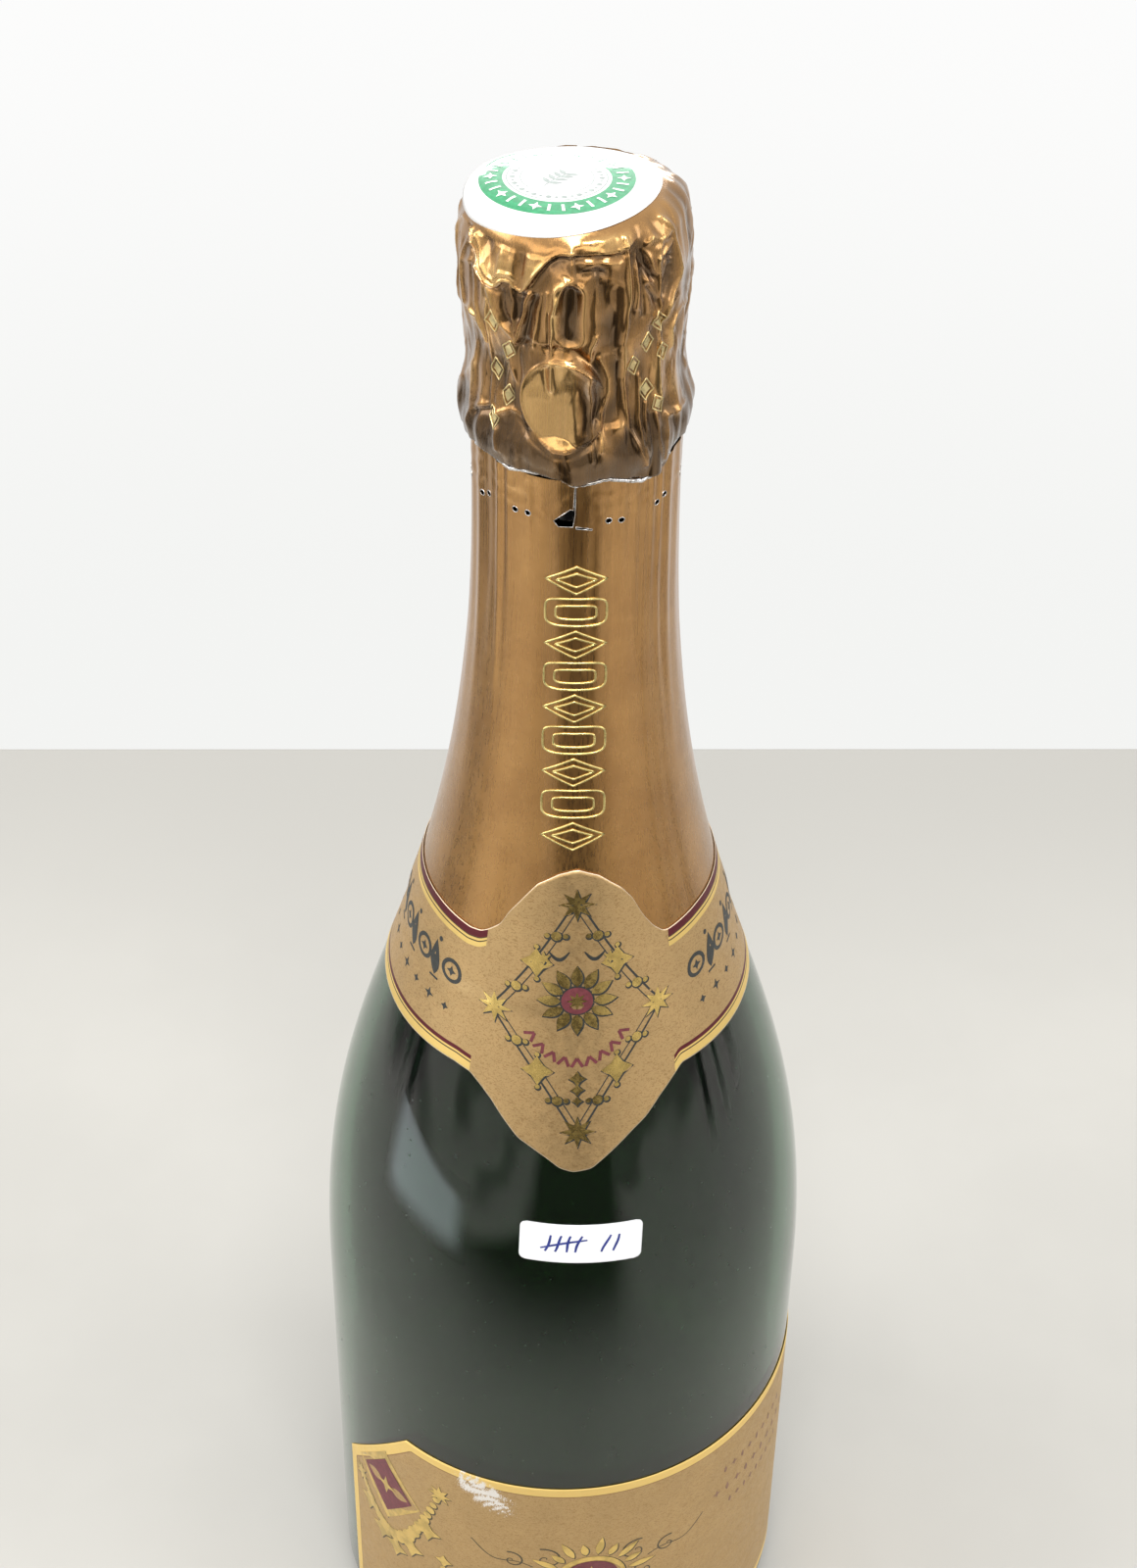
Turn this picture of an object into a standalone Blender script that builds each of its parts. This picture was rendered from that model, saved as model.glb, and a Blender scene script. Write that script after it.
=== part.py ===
# Sealed sparkling-wine bottle, 75 cl: glass, wine, cork, wire cage, foil capsule and paper labels.
# The origin is the centre of the base and +Z is up. The printed front faces -Y.
from math import atan2, cos, degrees, hypot, pi, radians, sin, tan

import bmesh
import bpy
from mathutils import Vector

mm = 0.001

# Glass
glass_height = 300.0 * mm
body_radius = 43.7 * mm
shoulder_height = 96.0 * mm
shoulder_reach = 73.0 * mm
neck_radius = 14.7 * mm
neck_drop = 21.0 * mm
neck_reach = 107.0 * mm
heel_radius = 7.5 * mm
seat_width = 3.7 * mm
punt_depth = 30.0 * mm
body_wall = 3.7 * mm
neck_wall = 4.9 * mm
base_wall = 5.5 * mm
floor_corner = 10.0 * mm
floor_corner_reach = 6.5 * mm
seat_round = 1.25 * mm
bore_radius = 8.75 * mm
bore_length = 27.0 * mm
bore_taper = 12.0 * mm
bead_step = 1.1 * mm
bead_drop = 19.1 * mm
bead_height = 6.3 * mm
finish_wall = 4.55 * mm
crown_wall = 5.55 * mm
crown_height = 5.2 * mm
lip_round = 0.9 * mm

# Wine
fill_drop = 68.0 * mm
wine_gap = 0.3 * mm

# Cork
cork_gap = 0.3 * mm
cork_depth = 24.0 * mm
cork_disc = 6.0 * mm
cork_overhang = 0.3 * mm
cork_head_height = 15.0 * mm
cork_crown_round = 2.0 * mm
cork_belly_round = 4.0 * mm

# Wire cage
wire = 0.9 * mm
wire_gap = 0.15 * mm
plate = 0.4 * mm
plate_gap = 0.35 * mm
plate_dome = 0.6 * mm
plate_rim = 1.6 * mm
plate_rim_slope = 1.35 * mm
ring_radius = 11.3 * mm
leg_count = 4
leg_bead_gap = 0.15 * mm
belt_gap = 0.2 * mm
belt_drop = 0.7 * mm
loop_ring_radius = 5.9 * mm
loop_ring_rise = 12.3 * mm
loop_azimuth = -5.5
loop_open_angle = 16.0
stem_turns = 1.5
stem_bend_share = 0.68
strand_gap = 0.4 * mm

# Foil capsule
foil = 0.1 * mm
foil_gap = 0.3 * mm
foil_flare = 0.5 * mm
tear_gap = 0.3 * mm
strip_width = 7.1 * mm
strip_bead_drop = 1.6 * mm
skirt_length = 87.9 * mm
hood_crown_gap = 1.45 * mm
hood_waist_gap = 0.35 * mm
hood_bead_gap = 0.45 * mm
hood_bead_drop = 1.1 * mm
hood_swell = 0.6 * mm
hood_lean = 0.5 * mm
crown_tilt = 6.5
hood_waist_drop = 1.8 * mm
hood_bead_rise = 3.6 * mm
bulge_gap = 0.2 * mm
bulge_half_angle = 10.0
bulge_fade_angle = 14.0

# Paper
paper = 0.12 * mm
collar_gap = 0.12 * mm
paper_gap = 0.2 * mm
collar_over_skirt = 9.8 * mm
collar_width = 25.2 * mm
shield_top = 14.6 * mm
shield_drop = 15.2 * mm
shield_half_angle = 35.0
shield_azimuth = 2.5
collar_half_angle = 168.0
front_low = 10.0 * mm
front_high = 75.2 * mm
front_left_angle = -66.0
front_right_angle = 96.0
corner_angle = 26.0
corner_drop = 23.0 * mm
sticker_width = 21.2 * mm
sticker_height = 8.3 * mm
sticker_azimuth = 4.7
sticker_drop = 14.2 * mm
stamp_radius = 13.4 * mm
stamp_offset = 1.5 * mm
stamp_gap = 0.2 * mm

turn_steps = 40
small_steps = 28
merge = 0.01 * mm

# Outline shares: how far along a piece's own size each corner of its outline lies
floor_shares = (0.55, 0.86)
rise_share = 0.85
punt_edge_share = 0.85
dome_shares = (0.85, 0.75)
bead_crest_share = 0.62

# Outline tables: (share of the height, share of the radius step)
bead_shares = [(1.0, 0.0), (0.9, 0.5), (bead_crest_share, 1.0), (0.35, 1.0), (0.12, 0.7), (0.0, 0.0)]
hood_head_shares = [(1.0, 0.0), (0.994, 0.86), (0.968, 0.945), (0.92, 0.982), (0.72, 1.0), (0.4, 1.0)]
hood_skirt_shares = [(0.83, 0.13), (0.57, 0.72), (0.32, 1.0), (0.0, 0.97)]
shield_top_shares = [(1.0, 0.0), (0.8, 0.1), (0.68, 0.36), (0.54, 0.62), (0.38, 0.8), (0.2, 0.94), (0.0, 1.0)]
shield_low_shares = [(1.0, 0.0), (0.8, 0.14), (0.62, 0.42), (0.45, 0.64), (0.27, 0.84), (0.12, 0.97),
                     (0.0, 1.0)]

# Places and sizes that follow from the ones above
wall_radius = body_radius - body_wall
seat_inner_radius = body_radius - heel_radius - seat_width
floor_groove_radius = wall_radius - floor_corner_reach
neck_height = glass_height - neck_drop
bead_radius = neck_radius + bead_step
bead_low = glass_height - bead_drop
bead_high = bead_low + bead_height
finish_radius = bore_radius + finish_wall
crown_radius = bore_radius + crown_wall
crown_low = glass_height - crown_height
bore_foot = glass_height - bore_length
fill_height = glass_height - fill_drop

cork_head_radius = crown_radius + cork_overhang
cork_radius = bore_radius - cork_gap
cork_seat = glass_height + cork_gap
cork_low = glass_height - cork_depth
cork_head_top = cork_seat + cork_head_height

plate_low = cork_head_top + plate_gap
plate_top = plate_low + plate
ring_height = plate_top + wire_gap + wire / 2
leg_radius = bead_radius + leg_bead_gap + wire / 2
leg_head_radius = cork_head_radius + wire_gap + wire / 2
belt_height = bead_low - belt_drop
belt_radius = neck_radius + belt_gap + wire / 2
stem_radius = bead_radius + wire_gap + wire + strand_gap / 2
stem_orbit = (wire + strand_gap) / 2
loop_radius = leg_head_radius + wire_gap
loop_ring_height = bead_low + loop_ring_rise
hinge_radius = stem_radius - wire_gap

hood_top = ring_height + wire / 2 + hood_crown_gap + foil
hood_low = bead_low - hood_bead_drop
hood_waist_high = glass_height - hood_waist_drop
hood_waist_low = bead_high + hood_bead_rise
hood_waist = leg_head_radius + wire / 2 + hood_waist_gap
hood_radius = leg_radius + wire / 2 + hood_bead_gap
hood_head_radius = hood_waist + hood_swell
hood_bulge = stem_radius + stem_orbit + wire / 2 + bulge_gap + foil - hood_radius
strip_top = bead_low - strip_bead_drop
strip_low = strip_top - strip_width
skirt_high = strip_low - tear_gap
skirt_low = skirt_high - skirt_length
skirt_flare_low = (skirt_low + 2 * skirt_high) / 3
collar_high = skirt_low + collar_over_skirt
collar_low = collar_high - collar_width
collar_seat = foil_gap + foil + collar_gap
sticker_middle = collar_low - shield_drop - sticker_drop


# Scene and helpers
def clear_scene():
    for item in list(bpy.data.objects):
        bpy.data.objects.remove(item, do_unlink=True)


def new_collection(name):
    group = bpy.data.collections.new(name)
    bpy.context.scene.collection.children.link(group)
    return group


def finish(name, colour, roughness, metallic=0.0, transmission=0.0):
    material = bpy.data.materials.new(name)
    material.use_nodes = True
    shader = material.node_tree.nodes["Principled BSDF"]
    shader.inputs["Base Color"].default_value = (*colour, 1.0)
    shader.inputs["Roughness"].default_value = roughness
    shader.inputs["Metallic"].default_value = metallic
    shader.inputs["Transmission Weight"].default_value = transmission
    return material


def add_object(name, data, material, parent=None):
    item = bpy.data.objects.new(name, data)
    data.materials.append(material)
    bottle_parts.objects.link(item)
    if parent:
        item.parent = parent
        item.matrix_parent_inverse = parent.matrix_world.inverted()
    return item


def pivot(name, place):
    empty = bpy.data.objects.new(name, None)
    empty.location = place
    bottle_parts.objects.link(empty)
    bpy.context.view_layer.update()
    return empty


def bezier(start, start_handle, end_handle, end, count):
    points = []
    for i in range(count + 1):
        t = i / count
        weights = ((1 - t) ** 3, 3 * t * (1 - t) ** 2, 3 * t * t * (1 - t), t ** 3)
        corners = (start, start_handle, end_handle, end)
        points.append(tuple(sum(w * c[k] for w, c in zip(weights, corners)) for k in (0, 1)))
    return points


def inwards(points, distance):
    # each point moves square to its neighbours, towards the outline's right-hand side
    moved = []
    for i, (r, z) in enumerate(points):
        before, after = points[max(i - 1, 0)], points[min(i + 1, len(points) - 1)]
        dr, dz = after[0] - before[0], after[1] - before[1]
        length = hypot(dr, dz)
        moved.append((max(r + dz / length * distance, 0.0), z - dr / length * distance))
    return moved


def turned(name, points, material, parent=None, steps=turn_steps):
    mesh = bpy.data.meshes.new(name)
    edges = [(i, i + 1) for i in range(len(points) - 1)]
    mesh.from_pydata([(r, 0, z) for r, z in points], edges, [])
    item = add_object(name, mesh, material, parent)
    screw = item.modifiers.new("turn", "SCREW")
    screw.axis = "Z"
    screw.steps = steps
    screw.render_steps = steps
    screw.use_merge_vertices = True
    screw.merge_threshold = merge
    screw.use_smooth_shade = True
    return item


def evaluated_mesh(item):
    depsgraph = bpy.context.evaluated_depsgraph_get()
    mesh = bpy.data.meshes.new_from_object(item.evaluated_get(depsgraph))
    mesh.name = item.name
    return mesh


def shell(item, thickness, offset=-1.0):
    solid = item.modifiers.new("thickness", "SOLIDIFY")
    solid.thickness = thickness
    solid.offset = offset
    solid.use_even_offset = True
    return solid


def tube(name, points, radius, material, parent=None, cyclic=False):
    curve = bpy.data.curves.new(name, "CURVE")
    curve.dimensions = "3D"
    curve.bevel_depth = radius
    curve.bevel_resolution = 2
    curve.use_fill_caps = True
    spline = curve.splines.new("POLY")
    spline.points.add(len(points) - 1)
    for point, place in zip(spline.points, points):
        point.co = (*place, 1.0)
    spline.use_cyclic_u = cyclic
    return add_object(name, curve, material, parent)


def tube_mesh(item):
    # the caps of a curve are loose, so they are welded before the tube is joined to another
    mesh = evaluated_mesh(item)
    work = bmesh.new()
    work.from_mesh(mesh)
    bmesh.ops.remove_doubles(work, verts=work.verts, dist=merge)
    work.to_mesh(mesh)
    work.free()
    solid = bpy.data.objects.new(item.name, mesh)
    solid.matrix_world = item.matrix_world
    bottle_parts.objects.link(solid)
    bpy.data.objects.remove(item, do_unlink=True)
    return solid


def joined(name, first, others, material, parent=None):
    for other in others:
        union = first.modifiers.new("join", "BOOLEAN")
        union.operation = "UNION"
        union.solver = "EXACT"
        union.object = other
    bpy.context.view_layer.update()
    mesh = evaluated_mesh(first)
    mesh.transform(first.matrix_world)
    mesh.materials.clear()
    for other in [first, *others]:
        bpy.data.objects.remove(other, do_unlink=True)
    return add_object(name, mesh, material, parent)


def around(radius, azimuth, height):
    # azimuth 0 is the front, -Y, and grows towards +X
    return Vector((radius * sin(radians(azimuth)), -radius * cos(radians(azimuth)), height))


def share_of(table, value):
    # straight-line reading of a table whose first column falls from 1 to 0
    for (high, high_value), (low, low_value) in zip(table, table[1:]):
        if value >= low:
            return low_value + (high_value - low_value) * (value - low) / (high - low)
    return table[-1][1]


# Glass outlines
def outer_curve(count=16):
    return bezier((neck_radius, neck_height), (neck_radius, neck_height - neck_reach),
                  (body_radius, shoulder_height + shoulder_reach), (body_radius, shoulder_height), count)


def glass_radius(height):
    points = outer_curve(80)
    if height <= shoulder_height:
        return body_radius
    for (r1, z1), (r2, z2) in zip(points, points[1:]):
        if z2 <= height <= z1:
            return r2 + (r1 - r2) * (height - z2) / (z1 - z2)
    return neck_radius


def heel_outline(count=4):
    centre = body_radius - heel_radius
    return [(centre + heel_radius * cos(i / count * pi / 2), heel_radius * (1 - sin(i / count * pi / 2)))
            for i in range(count + 1)]


def punt_outline(count=7):
    return bezier((seat_inner_radius - seat_round, seat_round),
                  (seat_inner_radius * punt_edge_share, punt_depth / 2),
                  (seat_inner_radius / 2, punt_depth), (0.0, punt_depth), count)


def inner_outline():
    # from the middle of the floor over the punt, out to the wall and up to the bore
    floor_top = punt_depth + base_wall
    crown_share, groove_share = floor_shares
    floor = bezier((0.0, floor_top), (floor_groove_radius * crown_share, floor_top),
                   (floor_groove_radius * groove_share, base_wall), (floor_groove_radius, base_wall), 7)
    corner = bezier((floor_groove_radius, base_wall), (wall_radius, base_wall),
                    (wall_radius, base_wall), (wall_radius, base_wall + floor_corner), 3)
    neck_foot = bore_foot - bore_taper
    inner_neck = neck_radius - neck_wall
    rise = bezier((wall_radius, shoulder_height), (wall_radius, shoulder_height + shoulder_reach),
                  (inner_neck, neck_foot - neck_reach * rise_share), (inner_neck, neck_foot), 11)
    return floor + corner[1:] + rise + [(bore_radius, bore_foot)]


def bead_outline():
    return [(neck_radius + share * (bead_radius - neck_radius), bead_low + at * bead_height)
            for at, share in bead_shares]


def make_glass():
    lip_top = [(bore_radius, glass_height - lip_round), (bore_radius + lip_round, glass_height),
               (crown_radius - lip_round, glass_height), (crown_radius, glass_height - lip_round)]
    finish_neck = [(crown_radius, crown_low), (finish_radius, crown_low - lip_round),
                   (finish_radius, bead_high + lip_round)]
    seat = [(seat_inner_radius, 0.0)]
    outline = (inner_outline() + lip_top + finish_neck + bead_outline() + outer_curve()
               + heel_outline() + seat + punt_outline())
    turned("glass_bottle", outline, glass_green)


def make_wine():
    wetted = [point for point in inner_outline() if point[1] < fill_height]
    reach = inner_outline()[len(wetted)]
    last = wetted[-1]
    share = (fill_height - last[1]) / (reach[1] - last[1])
    surface = (last[0] + share * (reach[0] - last[0]), fill_height)
    skin = inwards(wetted + [surface], -wine_gap)
    skin[0] = (0.0, skin[0][1])
    skin[-1] = (skin[-1][0], fill_height)
    turned("wine", [(0.0, fill_height)] + skin[::-1], wine_gold, steps=small_steps)


# Cork
def make_cork(parent):
    disc_step = cork_disc + cork_gap
    shank_low = cork_low + 2 * disc_step
    head = cork_head_radius
    outline = [(0.0, cork_head_top), (head - cork_crown_round, cork_head_top),
               (head - cork_crown_round / 4, cork_head_top - cork_crown_round),
               (head, cork_head_top - 2 * cork_belly_round), (head, cork_seat + cork_belly_round),
               (head - cork_crown_round / 2, cork_seat + cork_crown_round / 2),
               (head - cork_belly_round, cork_seat), (cork_radius, cork_seat),
               (cork_radius, shank_low), (0.0, shank_low)]
    turned("cork_body", outline, cork_grain, parent, steps=small_steps)
    for name, low in (("cork_disc_lower", cork_low), ("cork_disc_upper", cork_low + disc_step)):
        disc_outline = [(0.0, low + cork_disc), (cork_radius, low + cork_disc), (cork_radius, low),
                        (0.0, low)]
        turned(name, disc_outline, cork_natural, parent, steps=small_steps)


# Wire cage
def make_plate(parent):
    # the plate is domed inside the wire ring, which lies in the flat round its dome
    rim = cork_head_radius
    dome_edge = ring_radius - 2 * wire
    flat_edge = rim - plate_rim_slope
    top_share, underside_share = dome_shares
    upper = [(0.0, plate_top + plate_dome), (dome_edge - wire, plate_top + plate_dome * top_share),
             (dome_edge, plate_top), (flat_edge, plate_top), (rim - plate / 2, plate_top - plate_dome),
             (rim, plate_top - plate_rim)]
    lower = [(rim - plate, plate_top - plate_rim), (rim - 1.6 * plate, plate_low - plate_dome * 0.6),
             (flat_edge - plate / 2, plate_low), (dome_edge - plate / 2, plate_low),
             (dome_edge - wire, plate_low + plate_dome * underside_share), (0.0, plate_low + plate_dome)]
    turned("cage_plate", upper + lower, plate_metal, parent, steps=small_steps)


def leg_path(azimuth):
    plate_edge = cork_head_radius
    shoulder = plate_top - plate_rim / 2
    route = [(ring_radius, ring_height), (plate_edge - wire, ring_height),
             (plate_edge + wire / 3, ring_height - wire), (leg_head_radius, shoulder),
             (leg_head_radius, cork_seat), (leg_head_radius, bead_high + 2 * wire),
             (leg_radius, bead_low + bead_crest_share * bead_height), (leg_radius, belt_height)]
    return [around(r, azimuth, z) for r, z in route]


def make_cage_wire(parent):
    bpy.ops.mesh.primitive_torus_add(major_radius=ring_radius, minor_radius=wire / 2, major_segments=32,
                                     minor_segments=8, location=(0.0, 0.0, ring_height))
    ring = bpy.context.object
    for group in list(ring.users_collection):
        group.objects.unlink(ring)
    bottle_parts.objects.link(ring)
    legs = []
    for number in range(leg_count):
        azimuth = 360 / leg_count * (number + 0.5)
        legs.append(tube_mesh(tube("leg", leg_path(azimuth), wire / 2, steel_wire)))
    joined("cage_wire", ring, legs, steel_wire, parent)


def make_belt(parent):
    count = turn_steps
    route = [around(belt_radius, 360 * i / count, belt_height) for i in range(count)]
    tube("cage_belt", route, wire / 2, steel_wire, parent, cyclic=True)


def stem_strand(phase, count=9):
    # one of the two strands that twist round each other over the bead, from the belt to the ring
    low, high = belt_height + wire / 2, loop_ring_height - loop_ring_radius
    points = []
    for i in range(count + 1):
        share = i / count
        angle = 2 * pi * stem_turns * share + phase
        height = low + share * (high - low)
        over = min(max((share - stem_bend_share) / (1 - stem_bend_share), 0.0), 1.0)
        centre = stem_radius + (loop_radius - stem_radius) * over * over
        reach = stem_orbit * (1.0 - 0.5 * over)
        radius = centre + reach * sin(angle)
        sideways = degrees(reach * cos(angle) / centre)
        points.append(around(radius, loop_azimuth + sideways, height))
    return points


def make_loop(parent, count=20):
    # one wire: up the first strand, round the ring and down the second strand
    ring = []
    for i in range(count + 1):
        angle = radians(-90 + loop_open_angle + (360 - 2 * loop_open_angle) * i / count)
        sideways = loop_ring_radius * cos(angle)
        ring.append(around(loop_radius, loop_azimuth + degrees(sideways / loop_radius),
                           loop_ring_height + loop_ring_radius * sin(angle)))
    up = stem_strand(pi)
    down = stem_strand(0.0)
    tube("twist_loop", up[:-1] + ring + down[-2::-1], wire / 2, steel_wire, parent)


# Foil capsule
def foil_radius(height):
    flare_share = max(0.0, (height - skirt_flare_low) / (strip_top - skirt_flare_low))
    return glass_radius(min(height, neck_height)) + foil_gap + foil + foil_flare * flare_share


def foil_tube(name, low, high, material, flare=0.0):
    # the foil has its corners at the glass's own, so that it stays clear of it all the way down
    heights = [high] + [z for _, z in outer_curve() if low + foil_gap < z < high - foil_gap] + [low]
    points = [(foil_radius(z) + flare * max(0.0, (z - strip_low) / strip_width) ** 2, z) for z in heights]
    shell(turned(name, points, material), foil)


def hood_outline():
    head_span = hood_top - hood_waist_high
    head = [(share * hood_head_radius, hood_waist_high + at * head_span) for at, share in hood_head_shares]
    waist = [(hood_waist, hood_waist_high), (hood_waist, hood_waist_low)]
    skirt_span = hood_waist_low - hood_low
    skirt = [(hood_waist + share * (hood_radius - hood_waist), hood_low + at * skirt_span)
             for at, share in hood_skirt_shares]
    return head + waist + skirt


def make_hood(parent):
    # the foil stands out over the twisted stem of the cage's loop, and its crown leans to -X and tilts back
    item = turned("foil_hood", hood_outline(), foil_bronze, parent)
    bpy.context.view_layer.update()
    mesh = evaluated_mesh(item)
    item.modifiers.clear()
    item.data = mesh
    for vertex in mesh.vertices:
        x, y, z = vertex.co
        radius = hypot(x, y)
        lean_share = max(0.0, (z - hood_waist_low) / (hood_top - hood_waist_low))
        if radius > merge:
            away = abs((degrees(atan2(x, -y)) - loop_azimuth + 180) % 360 - 180)
            side = min(max(1 - (away - bulge_half_angle) / bulge_fade_angle, 0.0), 1.0)
            up = min(max((hood_waist_low - z) / (hood_waist_low - bead_high), 0.0), 1.0)
            grow = 1 + hood_bulge * side * up / radius
            vertex.co = (x * grow, y * grow, z)
        crown_share = max(0.0, (z - hood_waist_high) / (hood_top - hood_waist_high))
        vertex.co.x -= hood_lean * lean_share
        vertex.co.z -= y * tan(radians(crown_tilt)) * crown_share
    shell(item, foil)


# Paper
def wrapped(name, material, azimuths, edges, gap, rows, radius_at=glass_radius):
    # a sheet that lies on the bottle between two edges, given as heights for each azimuth
    work = bmesh.new()
    bmesh.ops.create_grid(work, x_segments=len(azimuths) - 1, y_segments=rows, size=0.5)
    for vertex in work.verts:
        column = round((vertex.co.x + 0.5) * (len(azimuths) - 1))
        share = vertex.co.y + 0.5
        low, high = edges(azimuths[column])
        height = low + share * (high - low)
        vertex.co = around(radius_at(height) + gap, azimuths[column], height)
    bmesh.ops.recalc_face_normals(work, faces=work.faces)
    work.faces.ensure_lookup_table()
    first = work.faces[0]
    if first.normal.dot(Vector((first.calc_center_median().x, first.calc_center_median().y, 0.0))) < 0:
        bmesh.ops.reverse_faces(work, faces=work.faces)
    mesh = bpy.data.meshes.new(name)
    work.to_mesh(mesh)
    work.free()
    mesh.shade_smooth()
    item = add_object(name, mesh, material)
    shell(item, paper, offset=1.0)
    return item


def spread(first, last, count):
    return [first + (last - first) * i / count for i in range(count + 1)]


def collar_edges(azimuth):
    away = min(abs(azimuth - shield_azimuth) / shield_half_angle, 1.0)
    return (collar_low - shield_drop * share_of(shield_low_shares, away),
            collar_high + shield_top * share_of(shield_top_shares, away))


def front_edges(azimuth):
    into_corner = max(0.0, (front_left_angle + corner_angle - azimuth) / corner_angle)
    return front_low, front_high - corner_drop * into_corner


def make_labels():
    shield_left, shield_right = shield_azimuth - shield_half_angle, shield_azimuth + shield_half_angle
    collar = (spread(-collar_half_angle, shield_left, 18) + spread(shield_left, shield_right, 20)[1:]
              + spread(shield_right, collar_half_angle, 17)[1:])
    wrapped("collar_label", paper_gold, collar, collar_edges, collar_seat, 3)
    cut = front_left_angle + corner_angle
    front = spread(front_left_angle, cut, 5) + spread(cut, front_right_angle, 23)[1:]
    wrapped("front_label", paper_tan, front, front_edges, paper_gap, 1)
    half = degrees(sticker_width / 2 / glass_radius(sticker_middle))
    sticker = spread(sticker_azimuth - half, sticker_azimuth + half, 6)
    sticker_edges = (sticker_middle - sticker_height / 2, sticker_middle + sticker_height / 2)
    wrapped("sticker", paper_white, sticker, lambda azimuth: sticker_edges, paper_gap, 1)


def make_stamp(parent):
    outline = [(0.0, paper), (stamp_radius, paper), (stamp_radius, 0.0), (0.0, 0.0)]
    stamp = turned("cap_stamp", outline, paper_white, steps=turn_steps)
    stamp.location = (-stamp_offset, 0.0, hood_top + stamp_gap)
    stamp.rotation_euler.x = -radians(crown_tilt)
    bpy.context.view_layer.update()
    stamp.parent = parent
    stamp.matrix_parent_inverse = parent.matrix_world.inverted()


# Build
clear_scene()
bottle_parts = new_collection("sparkling_wine_bottle")

glass_green = finish("glass_green", (0.012, 0.035, 0.022), 0.06, transmission=0.85)
wine_gold = finish("wine_gold", (0.72, 0.56, 0.22), 0.05, transmission=0.9)
cork_grain = finish("cork_grain", (0.55, 0.36, 0.2), 0.85)
cork_natural = finish("cork_natural", (0.62, 0.42, 0.25), 0.8)
plate_metal = finish("plate_metal", (0.75, 0.6, 0.35), 0.3, 1.0)
steel_wire = finish("steel_wire", (0.7, 0.7, 0.72), 0.3, 1.0)
foil_bronze = finish("foil_bronze", (0.42, 0.24, 0.1), 0.32, 1.0)
paper_gold = finish("paper_gold", (0.56, 0.42, 0.24), 0.45, 0.4)
paper_tan = finish("paper_tan", (0.6, 0.43, 0.24), 0.5, 0.3)
paper_white = finish("paper_white", (0.92, 0.92, 0.9), 0.6)

cork_pivot = pivot("cork_pull_pivot", (0.0, 0.0, cork_low))
cage_pivot = pivot("cage_lift_pivot", (0.0, 0.0, plate_low))
hood_pivot = pivot("hood_lift_pivot", (0.0, 0.0, hood_low))
loop_pivot = pivot("loop_swing_pivot", around(hinge_radius, loop_azimuth, belt_height))

make_glass()
make_wine()
make_cork(cork_pivot)
make_plate(cage_pivot)
make_cage_wire(cage_pivot)
make_belt(cage_pivot)
make_loop(loop_pivot)
foil_tube("foil_skirt", skirt_low, skirt_high, foil_bronze)
foil_tube("tear_strip", strip_low, strip_top, foil_bronze, foil_flare)
make_hood(hood_pivot)
make_labels()
make_stamp(hood_pivot)
bpy.context.view_layer.update()
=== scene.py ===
from math import atan2, copysign, cos, degrees, dist, exp, hypot, pi, radians, sin, sqrt

import bmesh
import bpy
from mathutils import Matrix, Vector, noise


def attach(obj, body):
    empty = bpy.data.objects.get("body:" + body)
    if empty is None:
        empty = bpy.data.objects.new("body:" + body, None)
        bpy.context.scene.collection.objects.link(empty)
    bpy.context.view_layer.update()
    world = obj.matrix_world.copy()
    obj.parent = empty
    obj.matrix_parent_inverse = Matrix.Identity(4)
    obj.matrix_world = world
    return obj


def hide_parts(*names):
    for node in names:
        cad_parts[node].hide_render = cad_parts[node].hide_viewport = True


# The looks of a sealed sparkling-wine bottle: glass, crumpled foil capsule, cork and cage, paper labels.
# Lengths are in millimetres times mm. Azimuth 0 is the front, -Y, and grows towards +X.
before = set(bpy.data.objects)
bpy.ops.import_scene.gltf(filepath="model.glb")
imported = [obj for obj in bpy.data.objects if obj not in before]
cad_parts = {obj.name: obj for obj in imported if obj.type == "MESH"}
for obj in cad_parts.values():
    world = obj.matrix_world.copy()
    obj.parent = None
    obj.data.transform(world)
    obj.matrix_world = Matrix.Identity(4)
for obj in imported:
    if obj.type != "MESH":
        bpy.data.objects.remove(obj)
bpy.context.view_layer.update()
mm = 0.001


# Camera, at the photograph's place
cameraView = {
    "place": (0.0, -355.5, 520.8),
    "yaw": -0.048,
    "pitch": 41.35,
    "roll": 0.99,
    "lens": 66.58,
    "sensor": 36.0,
    "frame": (1160.0, 1600.0),
}


def cameraAxes():
    yaw, pitch, roll = (radians(cameraView[key]) for key in ("yaw", "pitch", "roll"))
    forward = Vector((sin(yaw) * cos(pitch), cos(yaw) * cos(pitch), -sin(pitch)))
    right = Vector((cos(yaw), -sin(yaw), 0.0))
    up = right.cross(forward)
    return cos(roll) * right + sin(roll) * up, cos(roll) * up - sin(roll) * right, forward


def makeCamera():
    right, up, forward = cameraAxes()
    turn = Matrix((right, up, -forward)).transposed().to_4x4()
    data = bpy.data.cameras.new("camera")
    data.lens = cameraView["lens"]
    data.sensor_width = cameraView["sensor"]
    item = bpy.data.objects.new("camera", data)
    item.matrix_world = Matrix.Translation(Vector(cameraView["place"]) * mm) @ turn
    bpy.context.scene.collection.objects.link(item)
    bpy.context.scene.camera = item


makeCamera()
print("camera placed")


# Small tools for places and shapes
def around(radius, azimuth, height):
    return Vector((radius * sin(radians(azimuth)), -radius * cos(radians(azimuth)), height)) * mm


def between(value, low, high):
    # smooth share of the way from low to high
    share = min(max((value - low) / (high - low), 0.0), 1.0)
    return share * share * (3.0 - 2.0 * share)


def readTable(table, value):
    # straight-line reading of (place, value) pairs, with the places rising
    if value <= table[0][0]:
        return table[0][1]
    for (low, lowValue), (high, highValue) in zip(table, table[1:]):
        if value <= high:
            return lowValue + (highValue - lowValue) * (value - low) / (high - low)
    return table[-1][1]


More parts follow.
